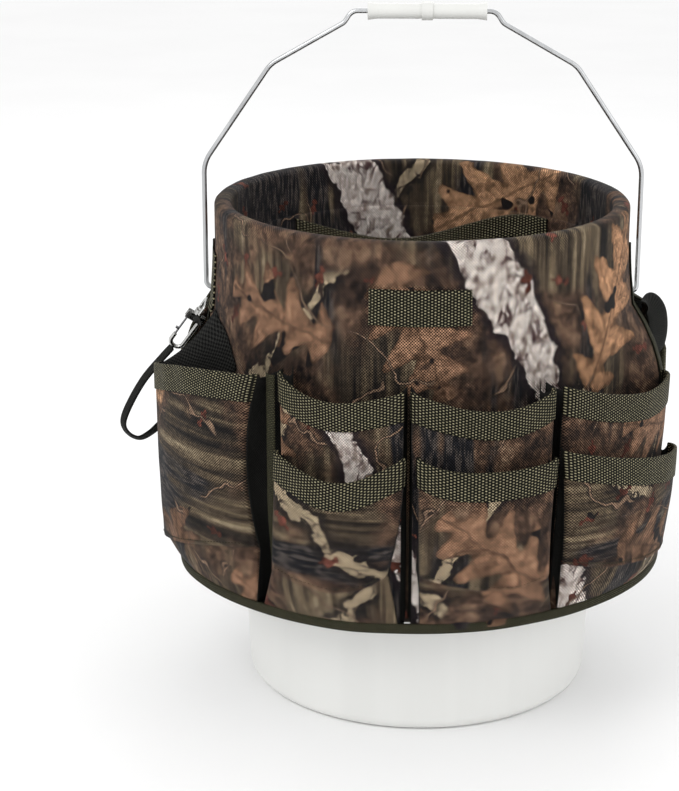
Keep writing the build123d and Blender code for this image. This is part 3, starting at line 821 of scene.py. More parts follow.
def cloth_piece(name, grids, slot, nodes=(), thick=0.8, closed=False, offset=-1.0):
    """Sheets of cloth from (places, flat places) grids in millimetres, thickened by Solidify."""
    vertices, faces, flats = [], [], []
    count = 0
    for points, flat in grids:
        rows, columns = points.shape[:2]
        corners, places = grid_faces(rows, columns, closed)
        vertices.append(points.reshape(-1, 3) * MM)
        faces.append(corners + count)
        flats.append(flat.reshape(-1, 2)[places.ravel()] * MM)
        count += rows * columns
    joined = [np.concatenate(parts) for parts in (vertices, faces, flats)]
    made = mesh_from(name, *joined, FINISH[slot])
    if not thick:
        weld(made.data)
    if thick:
        solid = made.modifiers.new("thickness", "SOLIDIFY")
        solid.thickness = thick * MM
        solid.offset = offset
        solid.use_even_offset = True
    return place_piece(made, nodes)


print("grid helpers ready")

# %% [markdown]
# ## Small shape helpers
#
# A pail is round, so places are easiest to say as a radius, an angle from the front and a
# height. A smooth step blends one shape into another, and a few sine waves of mixed length
# pucker the cloth. The waves are seeded, so the cloth is the same on each run.


# %% Shape helpers
def plan(radius, angle):
    """Plan place at a radius and an angle in degrees from the front, as an array."""
    turn = np.radians(angle)
    return np.stack([radius * np.sin(turn), -radius * np.cos(turn)], -1)


def step(value, low, high):
    """Smooth step from 0 at low to 1 at high."""
    t = np.clip((value - low) / (high - low), 0.0, 1.0)
    return t * t * (3 - 2 * t)


def ripple(a, b, seed, count=7, shortest=18.0, longest=70.0):
    """A sum of seeded sine waves of mixed direction and length, about -1 to 1."""
    dice = np.random.default_rng(seed)
    total = np.zeros(np.broadcast(a, b).shape)
    for _ in range(count):
        length = dice.uniform(shortest, longest)
        lean = dice.uniform(0, 2 * math.pi)
        phase = dice.uniform(0, 2 * math.pi)
        total += np.sin((a * np.cos(lean) + b * np.sin(lean)) * 2 * math.pi / length + phase)
    return total / count


def half_turn(points):
    """Places turned by 180 degrees about the pail's axis, for the back half."""
    return points * np.array([-1.0, -1.0, 1.0])


print("shape helpers ready")

# %% [markdown]
# ## The rim and the two aprons
#
# One long piece of cloth is folded over the rim. Outside, it hangs down as two aprons with a
# slit at each ear for the bail. Near the slits the apron is pulled outwards to the corners of
# the end pockets, because they are sewn to its edge. The shape is a radius that depends on the
# plan angle and the height.

# %% Rim and aprons
RIM_R = 153.7
RIM_TOP = 373.0
SKIRT_Z = 341.0
LINING_R = 140.9
HEM_Z = 98.0
SLIT = 86.0
REFERENCE_R = 155.0
# Outward pull of the apron's two slit edges at these heights, for each half.
PULL_Z = (98.0, 215.0, 243.0, 255.0, 268.0, 284.0, 298.0, 318.0, 345.0)
RIGHT_PULL = (24.0, 28.0, 26.5, 23.5, 19.0, 11.0, 2.4, 1.0, 0.0)
PULLS = {
    "front": ((16.0, 12.0, 9.0, 7.0, 5.0, 3.0, 1.0, 0.5, 0.0), RIGHT_PULL),
    "back": ((29.0, 31.0, 30.0, 30.0, 29.0, 25.0, 2.4, 1.0, 0.0), RIGHT_PULL),
}


def apron_radius(angle, height, half="front"):
    """Radius of the apron: straight from the rim, eased out low down, pulled out at its edges."""
    eased = RIM_R + 2.0 * step(SKIRT_Z - height, 0.0, 60.0)
    left_pull, right_pull = PULLS[half]
    left = np.interp(height, PULL_Z, left_pull) * step(-angle, 60.0, 85.0) ** 1.3
    right = np.interp(height, PULL_Z, right_pull) * step(angle, 62.0, 85.0) ** 1.3
    soft = 0.5 * ripple(angle * 2.7, height, 5, shortest=60.0, longest=160.0)
    return eased + left + right + soft * step(SKIRT_Z - height, 10.0, 50.0)


def apron_grid(half):
    """Places and flat coordinates of an apron, from the skirt of the rim to the hem."""
    heights = np.linspace(HEM_Z, SKIRT_Z + 2.0, 110)
    angle, height = np.meshgrid(np.linspace(-SLIT, SLIT, 260), heights, indexing="ij")
    ground = plan(apron_radius(angle, height, half), angle)
    points = np.concatenate([ground, height[..., None]], -1)
    flat = np.stack([REFERENCE_R * np.radians(angle), height], -1)
    return points, flat


def rim_profile():
    """Radius and height along the rim fold, from outside skirt over the top to the inside."""
    bend = np.linspace(0, math.pi, 25)
    middle = (RIM_R + LINING_R) / 2
    half = (RIM_R - LINING_R) / 2
    top_r = middle + half * np.cos(bend)
    top_z = RIM_TOP - 5.0 + 5.0 * np.sin(bend) ** 0.8
    out_z = np.linspace(SKIRT_Z, RIM_TOP - 5.0, 12)[:-1]
    in_z = np.linspace(RIM_TOP - 5.0, 330.0, 16)[1:]
    radius = np.concatenate([np.full(out_z.shape, RIM_R), top_r, np.full(in_z.shape, LINING_R)])
    height = np.concatenate([out_z, top_z, in_z])
    return radius, height


def rim_grid():
    """The rim fold carried round the pail, with a faint pucker along its top."""
    radius, height = rim_profile()
    run = np.concatenate([[0], np.cumsum(np.hypot(np.diff(radius), np.diff(height)))])
    angle = np.linspace(-90, 270, 361)
    pucker = 0.35 * ripple(angle * 2.7, 0 * angle, 8, count=9, shortest=14.0, longest=60.0)
    over = np.sin(math.pi * np.clip(run / run[-1], 0, 1)) ** 2
    wide = radius[None, :] + pucker[:, None] * over[None, :]
    tall = height[None, :] + 0.6 * pucker[:, None] * over[None, :]
    ground = plan(wide, angle[:, None])
    points = np.concatenate([ground, tall[..., None]], -1)
    along = REFERENCE_R * np.radians(angle)
    flat = np.stack(np.broadcast_arrays(along[:, None], SKIRT_Z + run[None, :]), -1)
    return points[:-1], flat


points, flat = rim_grid()
closed_flat = np.concatenate([flat, flat[:1] + np.array([2 * math.pi * REFERENCE_R, 0.0])])
rim = cloth_piece("rim_cover", [(points, closed_flat)], "printed_cloth", ["rim_cover"], 1.4, closed=True)
points, flat = apron_grid("front")
front_apron = cloth_piece("front_apron", [(points, flat)], "printed_cloth", ["front_apron"], 1.0)
points, flat = apron_grid("back")
back_flat = flat + np.array([math.pi * REFERENCE_R, 0.0])
back_grid = (half_turn(points), back_flat)
back_apron = cloth_piece("back_apron", [back_grid], "printed_cloth", ["back_apron"], 1.0)
print("rim and aprons:", len(rim.data.vertices), len(front_apron.data.vertices))

# %% [markdown]
# ## The shape of a pocket
#
# Each pocket front is cut a little wider and longer than the place it is sewn to, so it
# stands away from the apron. It is widest in its belly, its corners roll back into dark side
# gussets, its mouth sags between them, and under a curved seam a foot panel slopes back to
# the hem. All of that is a radius, an angle and a height that depend on two shares: how far
# across the pocket, and how far down from mouth to seam.

# %% Pocket shapes
HEM_TOP = 104.5
HEM_ANGLES = (-86, -73, -58, -41, -21, -4, 10, 24, 36, 53, 78, 86)
HEM_RADII = (182, 185, 182, 178.5, 177, 173.5, 172, 171.5, 172, 175.5, 183, 185)
CORNER = 0.07
CORNER_DEPTH = 4.5
# Radii are left and right at the mouth, then at the seam. Side angles are given at the mouth,
# half way, at the seam and at the hem. Mouth and seam heights are given at five spots.
POCKETS = {
    "tall": {
        "radii": ((200.5, 188.0), (197.0, 186.0)),
        "left": (-83.5, -84.0, -84.0, -85.5),
        "right": (-37.8, -41.5, -38.3, -40.0),
        "mouth": (248.0, 258.0, 267.0, 273.0, 276.0),
        "seam": (112.0, 121.0, 131.0, 141.0, 149.0),
        "bulge": (2.0, 4.0),
    },
    "left_upper": {
        "radii": ((177.0, 178.0), (171.0, 169.0)),
        "left": (-33.8, -33.8, -34.5, -35.0),
        "right": (-3.4, -3.6, -4.0, -4.0),
        "mouth": (279.0, 268.0, 264.5, 268.0, 273.5),
        "seam": (100.0, 100.0, 100.0, 100.0, 100.0),
        "bulge": (5.0, 2.0),
    },
    "left_lower": {
        "radii": ((188.5, 188.0), (187.0, 184.0)),
        "left": (-32.4, -33.2, -34.0, -38.0),
        "right": (-3.0, -3.8, -6.6, -4.2),
        "mouth": (225.0, 217.0, 211.5, 217.5, 229.5),
        "seam": (137.0, 134.0, 130.5, 133.0, 144.0),
        "bulge": (5.5, 6.5),
    },
    "middle_upper": {
        "radii": ((178.0, 179.0), (169.0, 168.0)),
        "left": (-1.7, -1.5, -1.5, -1.5),
        "right": (32.0, 32.0, 32.0, 32.0),
        "mouth": (273.5, 266.0, 261.0, 262.5, 270.0),
        "seam": (100.0, 100.0, 100.0, 100.0, 100.0),
        "bulge": (5.0, 2.0),
    },
    "middle_lower": {
        "radii": ((188.0, 190.0), (186.0, 187.0)),
        "left": (-0.2, 0.1, 0.4, 0.6),
        "right": (30.7, 30.0, 30.2, 33.8),
        "mouth": (230.5, 222.5, 221.0, 221.5, 224.0),
        "seam": (145.0, 139.0, 134.5, 133.5, 139.0),
        "bulge": (4.0, 6.0),
    },
    "right_upper": {
        "radii": ((180.0, 187.0), (168.0, 178.0)),
        "left": (34.4, 34.4, 34.6, 35.0),
        "right": (83.0, 83.0, 83.0, 83.0),
        "mouth": (270.0, 259.0, 251.0, 247.5, 246.5),
        "seam": (100.0, 100.0, 100.0, 100.0, 100.0),
        "bulge": (3.0, 2.0),
    },
    "right_lower": {
        "radii": ((190.0, 194.0), (188.0, 187.5)),
        "left": (32.3, 33.4, 33.8, 35.4),
        "right": (82.5, 81.5, 80.5, 81.0),
        "mouth": (227.5, 216.5, 206.0, 197.0, 190.0),
        "seam": (144.0, 134.5, 127.5, 122.0, 118.0),
        "bulge": (5.5, 6.5),
    },
}
# The back half's tall pocket is slimmer.
POCKETS["back_tall"] = {**POCKETS["tall"], "radii": ((190.5, 187.0), (188.0, 186.0))}
WITH_FOOT = ("tall", "back_tall", "left_lower", "middle_lower", "right_lower")


print("pockets:", len(POCKETS))

# %% [markdown]
# ## From numbers to a surface
#
# A mouth or seam is a smooth curve through a few heights, and everything between is blended
# by the two shares. The foot panel starts just behind the front's lower edge, so no gap shows.


# %% Pocket surfaces
def through(values, share):
    """The polynomial through values at evenly spaced shares, taken at a share."""
    places = np.linspace(0, 1, len(values))
    return np.polyval(np.polyfit(places, values, len(values) - 1), share)


def hem_radius(angle):
    """Radius of the hem line at a plan angle."""
    smoothed = sum(np.interp(angle + shift, HEM_ANGLES, HEM_RADII) for shift in (-6, -3, 0, 3, 6))
    return smoothed / 5


def polar(radius, angle, height):
    """Places from a radius, a plan angle and a height."""
    return np.concatenate([plan(radius, angle), np.broadcast_to(height, np.shape(angle))[..., None]], -1)


def front_surface(pocket, across, down, seed=1):
    """Places on a pocket's front at shares across it and down from mouth to seam."""
    shape = POCKETS[pocket]
    mouth = through(shape["mouth"], across)
    seam = through(shape["seam"], across)
    height = mouth + (seam - mouth) * down
    left = through(shape["left"][:3], down)
    right = through(shape["right"][:3], down)
    angle = left + (right - left) * across
    (mouth_left, mouth_right), (seam_left, seam_right) = shape["radii"]
    fall = np.clip(down, 0, 1) ** 1.6
    high = mouth_left + (mouth_right - mouth_left) * across
    low = seam_left + (seam_right - seam_left) * across
    hump = 1 - np.abs(2 * across - 1) ** 2.4
    at_mouth, at_belly = shape["bulge"]
    belly = at_mouth + (at_belly - at_mouth) * np.sin(math.pi * np.clip(down, 0, 1)) ** 0.8
    edge = np.clip(np.minimum(across, 1 - across) / CORNER, 0, 1)
    roll = CORNER_DEPTH * (1 - np.sqrt(1 - (1 - edge) ** 2))
    creases = 1.3 * ripple(angle * 3.2, height, seed, count=9, shortest=22.0, longest=75.0)
    tucks = 0.5 * np.sin(across * 23.0 + seed) * step(down, 0.72, 1.0) * hump
    radius = high * (1 - fall) + low * fall + hump * (belly + creases) - roll + tucks
    return polar(radius, angle, height)


# The foot panel starts this far behind and above the seam, and ends this far under the hem band.
FOOT_BEHIND = 1.5
FOOT_LAP = 0.8
HEM_LAP = 2.5


def foot_surface(pocket, across, down, seed=1):
    """Places on the foot panel, at shares across it and down from the seam to the hem."""
    shape = POCKETS[pocket]
    top = front_surface(pocket, across, np.ones_like(down), seed)
    angle_top = np.degrees(np.arctan2(top[..., 0], -top[..., 1]))
    radius_top = np.hypot(top[..., 0], top[..., 1]) - FOOT_BEHIND
    angle_low = shape["left"][3] + (shape["right"][3] - shape["left"][3]) * across
    angle = angle_top + (angle_low - angle_top) * down
    slack = 2.2 * np.sin(math.pi * down) * (1 - np.abs(2 * across - 1) ** 3)
    creases = 0.5 * ripple(angle * 3.2, down * 40.0, seed + 50) * np.sin(math.pi * down)
    radius = radius_top + (hem_radius(angle_low) - radius_top) * down + slack + creases
    height = top[..., 2] + FOOT_LAP + (HEM_TOP - HEM_LAP - top[..., 2]) * down
    return polar(radius, angle, height)


def shares(rows, columns, reach=1.0):
    """Shares across by rows and, from high to low values, down by columns."""
    return np.meshgrid(np.linspace(0, 1, rows), np.linspace(reach, 0, columns), indexing="ij")


# Radius at which an angle about the pail turns into a run along a pocket's cloth.
POCKET_R = 188.0


def flat_places(points, offset=(0.0, 0.0), turned=False):
    """Flat cloth coordinates: run across and height, moved and maybe turned a quarter."""
    along = np.degrees(np.arctan2(points[..., 0], -points[..., 1])) * math.radians(1) * POCKET_R
    flat = np.stack([along, points[..., 2]], -1)
    if turned:
        flat = flat[..., ::-1] * np.array([1.0, -1.0])
    return flat + np.array(offset)


def grid_normals(points):
    """Unit normals of a grid: the cross product of its two directions."""
    normal = np.cross(np.gradient(points, axis=0), np.gradient(points, axis=1))
    return normal / np.maximum(np.linalg.norm(normal, axis=-1, keepdims=True), 1e-9)


print("pocket shapes:", sorted(POCKETS))

# %% [markdown]
# ## Trims, gussets and floors
#
# Webbing is folded over each mouth and sewn through both sides, so a trim is one strip that
# climbs the outside, turns over the edge and goes down the inside. A gusset joins the edge of
# a front to the cloth behind it and bends into the pocket, as slack cloth does. Its near-black
# cloth is partly real dark side cloth and partly painted shade, where it reaches over apron in
# shade by the ears and across the gaps between columns.

# %% Trims, gussets and floors
TRIM_DROP = 19.0
# Height to which a pocket's outer side cloth climbs, towards the ear: a near-black wing laid over apron that
# lies in shade, as painted shade.
WING_TOP = {"tall": 297.0, "back_tall": 286.0, "right_upper": 285.0}
# Where the tall pocket's side cloth is sewn to the apron: angle from the front at each height.
WING_Z = (120.0, 240.0, 265.0, 272.0, 280.0, 287.0, 291.0, 295.0)
WING_ANGLES = (-83.0, -62.0, -57.2, -59.2, -61.0, -63.6, -67.7, -72.6)
BACK_OF = {"left_lower": "left_upper", "middle_lower": "middle_upper", "right_lower": "right_upper"}


def trim_grid(pocket, seed=1):
    """Webbing over a mouth: outside surface, a half round over the edge, inside surface."""
    shape = POCKETS[pocket]
    across, depth = np.meshgrid(np.linspace(0, 1, 150), np.linspace(TRIM_DROP, 0, 14), indexing="ij")
    drop = through(shape["mouth"], across) - through(shape["seam"], across)
    points = front_surface(pocket, across, depth / drop, seed)
    normal = grid_normals(points)
    outside = points + 1.15 * normal
    inside = (points - 1.9 * normal)[:, ::-1]
    turn = np.linspace(0, math.pi, 8)[1:-1]
    top = points[:, -1:, :]
    out = normal[:, -1:, :]
    lift = np.array([0.0, 0.0, 1.0])
    outwards = (-0.375 + 1.525 * np.cos(turn))[None, :, None]
    upwards = 1.4 * np.sin(turn)[None, :, None]
    over = top + out * outwards + lift * upwards
    grid = np.concatenate([outside, over, inside], 1)
    run = np.concatenate([[0], np.cumsum(np.linalg.norm(np.diff(grid[grid.shape[0] // 2], axis=0), axis=1))])
    flat = flat_places(points[:, :1])[..., 0] + 0 * run[None, :]
    return grid, np.stack([flat, np.broadcast_to(run[None, :], flat.shape)], -1)


def edge_line(pocket, side, seed=1):
    """Places down one edge of a pocket, from the hem up to the mouth."""
    share = np.full(40, 0.0 if side == "left" else 1.0)
    line = front_surface(pocket, share, np.linspace(1, 0, 40), seed)
    if pocket in WITH_FOOT:
        foot = foot_surface(pocket, share[:14], np.linspace(1, 0, 14), seed)
        line = np.concatenate([foot[:-1], line])
    return line


def gusset_grid(pocket, side, half, seed=1):
    """Side cloth from a front's edge back to the cloth behind, bent into the pocket."""
    sign = 1.0 if side == "left" else -1.0
    line = edge_line(pocket, side, seed)
    height = line[:, 2]
    low, high = height[0], height[-1]
    # A lower pocket's gusset reaches the very edge of the front above, so its near-black cloth spans the gap
    # between columns as painted shade.
    if pocket in BACK_OF:
        shape = POCKETS[BACK_OF[pocket]]
        share = np.full(height.shape, 0.0 if side == "left" else 1.0)
        top = through(shape["mouth"], share)
        base = through(shape["seam"], share)
        inner = front_surface(BACK_OF[pocket], share, (top - height) / (top - base), seed)
        inner[:, 2] = height
        inner[:, :2] *= (1 + 0.8 / np.linalg.norm(inner[:, :2], axis=1))[:, None]
    else:
        angle = np.full(height.shape, POCKETS[pocket][side][0] - sign * 0.4)
        rise = height.copy()
        # The wing carries the near-black gusset up over the shaded apron towards the ear: painted shade.
        wing = pocket in WING_TOP and (side == "left") == pocket.endswith("tall")
        if wing:
            rise = low + (height - low) * (WING_TOP[pocket] - low) / (high - low)
            if pocket.endswith("tall"):
                angle = np.interp(rise, WING_Z, WING_ANGLES)
        inner = polar(apron_radius(angle, rise, half) + 1.2, angle, rise)
    share = np.linspace(0, 1, 14)[:, None, None]
    points = line[None] * (1 - share) + inner[None] * share
    heading = np.arctan2(points[..., 0], -points[..., 1])
    tangent = np.stack([np.cos(heading), np.sin(heading), 0 * heading], -1)
    sway = np.sin(math.pi * share)
    slack = 4.0 + 1.5 * ripple(height * 1.0, 0 * height, seed + 9, shortest=40.0, longest=90.0)
    points = points + sign * tangent * sway * slack[None, :, None]
    near_top = step(height, high - 35.0, high)
    points[..., 2] -= 4.0 * sway[..., 0] * near_top[None, :]
    flat = np.stack(np.broadcast_arrays(share[..., 0] * 40.0, height[None, :]), -1)
    return (points, flat) if side == "left" else (points[::-1], flat[::-1])


def floor_grid(pocket, half):
    """Flat cloth floor from the apron to the hem line."""
    shape = POCKETS[pocket]
    angles = np.linspace(shape["left"][3] - 1.0, shape["right"][3] + 1.0, 50)
    out, angle = np.meshgrid(np.linspace(0, 1, 12), angles, indexing="ij")
    inner = apron_radius(angle, 0 * angle + HEM_Z, half)
    inner = np.minimum(inner, hem_radius(angle) - 2.5)
    radius = inner - 0.4 + (hem_radius(angle) - 1.2 - inner) * out
    height = HEM_Z + 1.2 + 0 * angle
    points = polar(radius, angle, height)
    return points, np.stack([radius, angle * 3.2], -1)


print("trim grid:", trim_grid("tall")[0].shape)

# %% [markdown]
# ## All fourteen pockets
#
# The front half is made first. The back half is the same cut turned by 180 degrees, with its
# own place in the print, so no two panels show the same leaves.

# %% Make the pockets
COLUMNS = {
    "tall": ("tall",),
    "left": ("left_upper", "left_lower"),
    "middle": ("middle_upper", "middle_lower"),
    "right": ("right_upper", "right_lower"),
}
# Where each panel lies on the printed cloth, in millimetres, and whether it is turned.
CUT = {
    "tall": ((128.0, 140.0), True),
    "left_upper": ((-331.0, -45.0), False),
    "left_lower": ((295.0, -58.0), True),
    "middle_upper": ((270.0, -203.0), False),
    "middle_lower": ((304.0, 8.0), False),
    "right_upper": ((-333.0, 90.0), False),
    "right_lower": ((190.0, 60.0), True),
}
FOOT_CUT = ((470.0, 75.0), (-150.0, 405.0))


def build_column(half, column, pockets, shift):
    """Every piece of one column of pockets, for one half."""
    turned_round = half == "back"
    place = half_turn if turned_round else np.asarray
    gussets = []
    for number, pocket in enumerate(pockets):
        label = pocket.replace("back_", "")
        seed = 11 * (list(POCKETS).index(label) + 1) + (70 if turned_round else 0)
        (move_u, move_v), turned = CUT[label]
        points = front_surface(pocket, *shares(110, 80), seed)
        grids = [(place(points), flat_places(points, (move_u + shift, move_v), turned))]
        if pocket in WITH_FOOT:
            foot = foot_surface(pocket, *shares(110, 24), seed)
            cut = FOOT_CUT[number % 2]
            grids.append((place(foot), flat_places(foot, (cut[0] + 2 * shift, cut[1]), not turned)))
        stem = half + "_" + label
        panel = cloth_piece(stem + "_pocket", grids, "printed_cloth", [stem + "_pocket"], 1.0)
        points, flat = trim_grid(pocket, seed)
        cloth_piece(stem + "_trim", [(place(points), flat)], "olive_webbing", [stem + "_trim"], 0.95)
        for side in ("left", "right"):
            points, flat = gusset_grid(pocket, side, half, seed)
            gussets.append((place(points), flat))
    points, flat = floor_grid(pockets[-1], half)
    gussets.append((place(points), flat))
    name = half + "_" + column + "_gussets"
    cloth_piece(name, gussets, "gusset_cloth", [name], 0.7, offset=0.0)


for half, shift in (("front", 0.0), ("back", 137.0)):
    for column, pockets in COLUMNS.items():
        if half == "back" and column == "tall":
            pockets = ("back_tall",)
        build_column(half, column, pockets, shift)

# %% [markdown]
# ## Bindings
#
# A folded tape closes the hem and each slit edge. It is the same strip each time: up one face
# of the cloth, round its edge and down the other. A second, upright tape covers the seam
# between the tall pocket and its neighbour.

# %% Bindings
TAPE_WIDTH = 7.5
SLIT_TAPE = 11.0


def hem_tape():
    """Tape folded round the hem: outside, under the edge, inside."""
    angle = np.linspace(-SLIT, SLIT, 300)
    radius = hem_radius(angle)
    out = np.array([1.3, 1.5, 1.5, 1.2, 0.3, -1.0, -2.2, -2.6, -2.6])
    rise = np.array([HEM_TOP, HEM_TOP - 2.5, 99.0, 97.4, 96.8, 96.8, 97.4, 99.0, HEM_TOP - 1.0])
    wave = 0.5 * ripple(angle * 3.0, 0 * angle, 77, shortest=25.0, longest=90.0)
    points = polar(
        radius[:, None] + out[None, ::-1],
        np.broadcast_to(angle[:, None], (len(angle), len(out))),
        rise[None, ::-1] + wave[:, None],
    )
    run = np.linspace(0, 2 * TAPE_WIDTH, len(out))
    flat = np.stack(np.broadcast_arrays((angle * 3.1)[:, None], run[None, :]), -1)
    return points, flat


def slit_tape(side, half):
    """Tape along a slit edge of the apron, from the hem to the rim skirt."""
    sign = -1.0 if side == "left" else 1.0
    height = np.linspace(HEM_TOP, SKIRT_Z + 1.0, 120)
    width = np.degrees(SLIT_TAPE / 158.0)
    inset = np.concatenate([np.linspace(width, 0, 7), [-0.35], np.linspace(0, width, 7)])
    lift = np.concatenate([np.full(7, 1.5), [0.2], np.full(7, -1.9)])
    angle = sign * (SLIT - inset)[:, None] + 0 * height[None, :]
    radius = apron_radius(angle, height[None, :] + 0 * angle, half) + lift[:, None]
    points = polar(radius, angle, height[None, :] + 0 * angle)
    run = np.linspace(0, 2 * SLIT_TAPE, len(inset))
    flat = np.stack(np.broadcast_arrays(height[None, :], run[:, None]), -1)
    return (points, flat) if side == "right" else (points[::-1], flat[::-1])


def seam_tape():
    """Upright tape on the seam between the tall pocket and the next column."""
    height = np.linspace(HEM_TOP, 277.0, 100)
    angle = np.linspace(-37.2, -34.6, 8)
    radius = 176.0 - 6.0 * step(190.0 - height, 0.0, 90.0)
    crown = 1.2 * np.sin(math.pi * np.linspace(0, 1, 8))
    points = polar(
        radius[None, :] + crown[:, None],
        np.broadcast_to(angle[:, None], (8, 100)),
        np.broadcast_to(height[None, :], (8, 100)),
    )
    flat = np.stack(np.broadcast_arrays(height[None, :], (angle * 3.1)[:, None]), -1)
    return points, flat


for half in ("front", "back"):
    strips = [hem_tape(), slit_tape("left", half), slit_tape("right", half), seam_tape()]
    turned = [(half_turn(p) if half == "back" else p, f) for p, f in strips]
    cloth_piece(half + "_edge_binding", turned, "olive_tape", [half + "_edge_binding"], 0.8)
print("bindings made")

# %% [markdown]
# ## Lining and inner pockets
#
# Inside the pail the cloth hangs against the wall. Two low pockets are sewn on it, front and
# back, with the same webbing on their slack mouths.

# %% Lining and inner pockets
LINING_LOW = 170.0
INNER_HALF = 46.0


def lining_radius(height):
    """Inside of the pail's sloping wall, less the cloth."""
    return 131.2 + (145.0 - 131.2) * height / 340.0 - 4.2


def lining_grid():
    """A closed ring of cloth down the inside of the wall."""
    heights = np.linspace(336.0, LINING_LOW, 60)
    angle, height = np.meshgrid(np.linspace(-90, 270, 181)[:-1], heights, indexing="ij")
    puff = 0.7 * ripple(angle * 2.6, height, 15, shortest=40.0, longest=120.0) - 0.4
    points = polar(lining_radius(height) + puff - 0.4, angle, height)
    wide = np.concatenate([angle, np.full((1, 60), 270.0)])
    tall = np.concatenate([height, height[:1]])
    flat = np.stack([np.radians(wide) * REFERENCE_R, 756.0 - tall], -1)
    return points, flat


def inner_front(across, down):
    """Front of an inner pocket: its mouth sags and bulges towards the middle of the pail."""
    angle = INNER_HALF * (2 * across - 1)
    mouth = through((335.0, 330.0, 316.0, 317.0, 334.0), across)
    height = mouth + (190.0 - mouth) * down
    hump = np.sin(math.pi * across) ** 0.9
    away = 1.8 + hump * (22.0 - 9.0 * down) + ripple(angle * 2.3, height, 31)
    return polar(lining_radius(height) - away, angle, height)


points, flat = lining_grid()
# lining_cloth is the print with painted shade, for the inside of the pail.
lining = cloth_piece("lining", [(points, flat)], "lining_cloth", ["lining"], 1.0, closed=True)
across, down = shares(100, 50)
points = inner_front(across, down)[::-1]
out, wide = np.meshgrid(np.linspace(0, 1, 8), np.linspace(0, 1, 60), indexing="ij")
edge = inner_front(wide, np.ones_like(wide))
reach = np.hypot(edge[..., 0], edge[..., 1])
room = lining_radius(190.0) - 0.8
floor_points = polar(reach + (room - reach) * out, INNER_HALF * (2 * wide - 1), 189.2 + 0 * wide)
across, depth = np.meshgrid(np.linspace(1, 0, 140), np.linspace(17.0, 0, 12), indexing="ij")
band = inner_front(across, depth / 140.0)
normal = grid_normals(band)
trim_points = np.concatenate([band + 1.1 * normal, (band - 1.9 * normal)[:, ::-1]], 1)
trim_run = np.concatenate([np.linspace(0, 17, 12), np.linspace(19, 36, 12)])
trim_flat = np.stack(np.broadcast_arrays(across[:, :1] * 2 * INNER_HALF * 2.2, trim_run[None, :]), -1)
for half in ("front", "back"):
    place = np.asarray if half == "front" else half_turn
    grids = [
        (place(points), flat_places(points, (40.0, 60.0))),
        (place(floor_points), flat_places(floor_points, (0.0, 0.0))),
    ]
    inner = cloth_piece(half + "_inner_pocket", grids, "lining_cloth", [half + "_inner_pocket"], 0.9)
    stem = half + "_inner_trim"
    cloth_piece(stem, [(place(trim_points), trim_flat)], "olive_webbing", [stem], 0.9)
print("lining and inner pockets made")

# %% [markdown]
# ## Webbing straps
#
# The web band is a flat patch on the front, sewn at both ends. A tab holds the snap by the
# left ear. A narrow strap hangs from the snap in a bight for rolls of tape, and a wide loop by
# the right ear takes a hammer. Each is a ribbon: a smooth path with a width across it.

# %% Straps
def smooth_path(points, count):
    """Evenly spaced places on a Catmull-Rom curve through points."""
    points = np.asarray(points, float)
    ends = np.concatenate([[2 * points[0] - points[1]], points, [2 * points[-1] - points[-2]]])
    t = np.linspace(0, len(points) - 1 - 1e-9, 40 * len(points))
    i = t.astype(int)
    u = (t - i)[:, None]
    a, b, c, d = (ends[i + k] for k in range(4))
    line = 0.5 * (2 * b + (c - a) * u + (2 * a - 5 * b + 4 * c - d) * u**2 + (3 * b - a - 3 * c + d) * u**3)
    run = np.concatenate([[0], np.cumsum(np.linalg.norm(np.diff(line, axis=0), axis=1))])
    even = np.linspace(0, run[-1], count)
    return np.stack([np.interp(even, run, line[:, k]) for k in range(3)], 1), even


def ribbon(path, width, thick, twist=(0.0, 0.0), side=(0.0, 1.0, 0.0), count=160):
    """A closed strap section carried along a path, its width starting along a side."""
    line, run = smooth_path(path, count)
    ahead = np.gradient(line, axis=0)
    ahead /= np.linalg.norm(ahead, axis=1, keepdims=True)
    across = np.broadcast_to(np.array(side, float), line.shape)
    across = across - ahead * np.sum(across * ahead, 1, keepdims=True)
    across /= np.linalg.norm(across, axis=1, keepdims=True)
    up = np.cross(ahead, across)
    turn = np.radians(np.linspace(twist[0], twist[1], count))[:, None]
    wide = across * np.cos(turn) + up * np.sin(turn)
    high = np.cross(ahead, wide)
    corner = np.array([-1, -0.96, -0.6, 0, 0.6, 0.96, 1, 0.96, 0.6, 0, -0.6, -0.96, -1]) * width / 2
    rise = np.array([0, 0.8, 1, 1, 1, 0.8, 0, -0.8, -1, -1, -1, -0.8, 0]) * thick / 2
    points = line[:, None] + wide[:, None] * corner[None, :, None] + high[:, None] * rise[None, :, None]
    flat = np.stack(np.broadcast_arrays(run[:, None], np.abs(corner)[None, :] + np.sign(rise) * width), -1)
    return points, flat


def capped(points, flat):
    """A tube of places closed by drawing both end rings in to their middles."""
    first = np.broadcast_to(points[:1].mean(1, keepdims=True), points[:1].shape)
    last = np.broadcast_to(points[-1:].mean(1, keepdims=True), points[-1:].shape)
    return np.concatenate([first, points, last]), np.concatenate([flat[:1], flat, flat[-1:]])


BAND = (-13.3, 13.3, 315.0, 340.7)
heights = np.linspace(BAND[2], BAND[3], 40)
angle, height = np.meshgrid(np.linspace(BAND[0], BAND[1], 90), heights, indexing="ij")
from_ends = np.minimum(angle - BAND[0], BAND[1] - angle) * 2.7
edge = np.minimum(from_ends, np.minimum(height - BAND[2], BAND[3] - height))
lift = 2.1 * np.sqrt(1 - (1 - np.clip(edge / 1.2, 0, 1)) ** 2) + 0.5 * ripple(angle * 2.7, height, 40) - 0.5
puffed = 1.2 * np.sin(math.pi * (angle - BAND[0]) / (BAND[1] - BAND[0])) ** 2
points = polar(apron_radius(angle, height) + lift + puffed, angle, height)
flat = np.stack([angle * 2.75, height], -1)
cloth_piece("front_web_band", [(points, flat)], "olive_webbing", ["front_web_band"], 1.2)

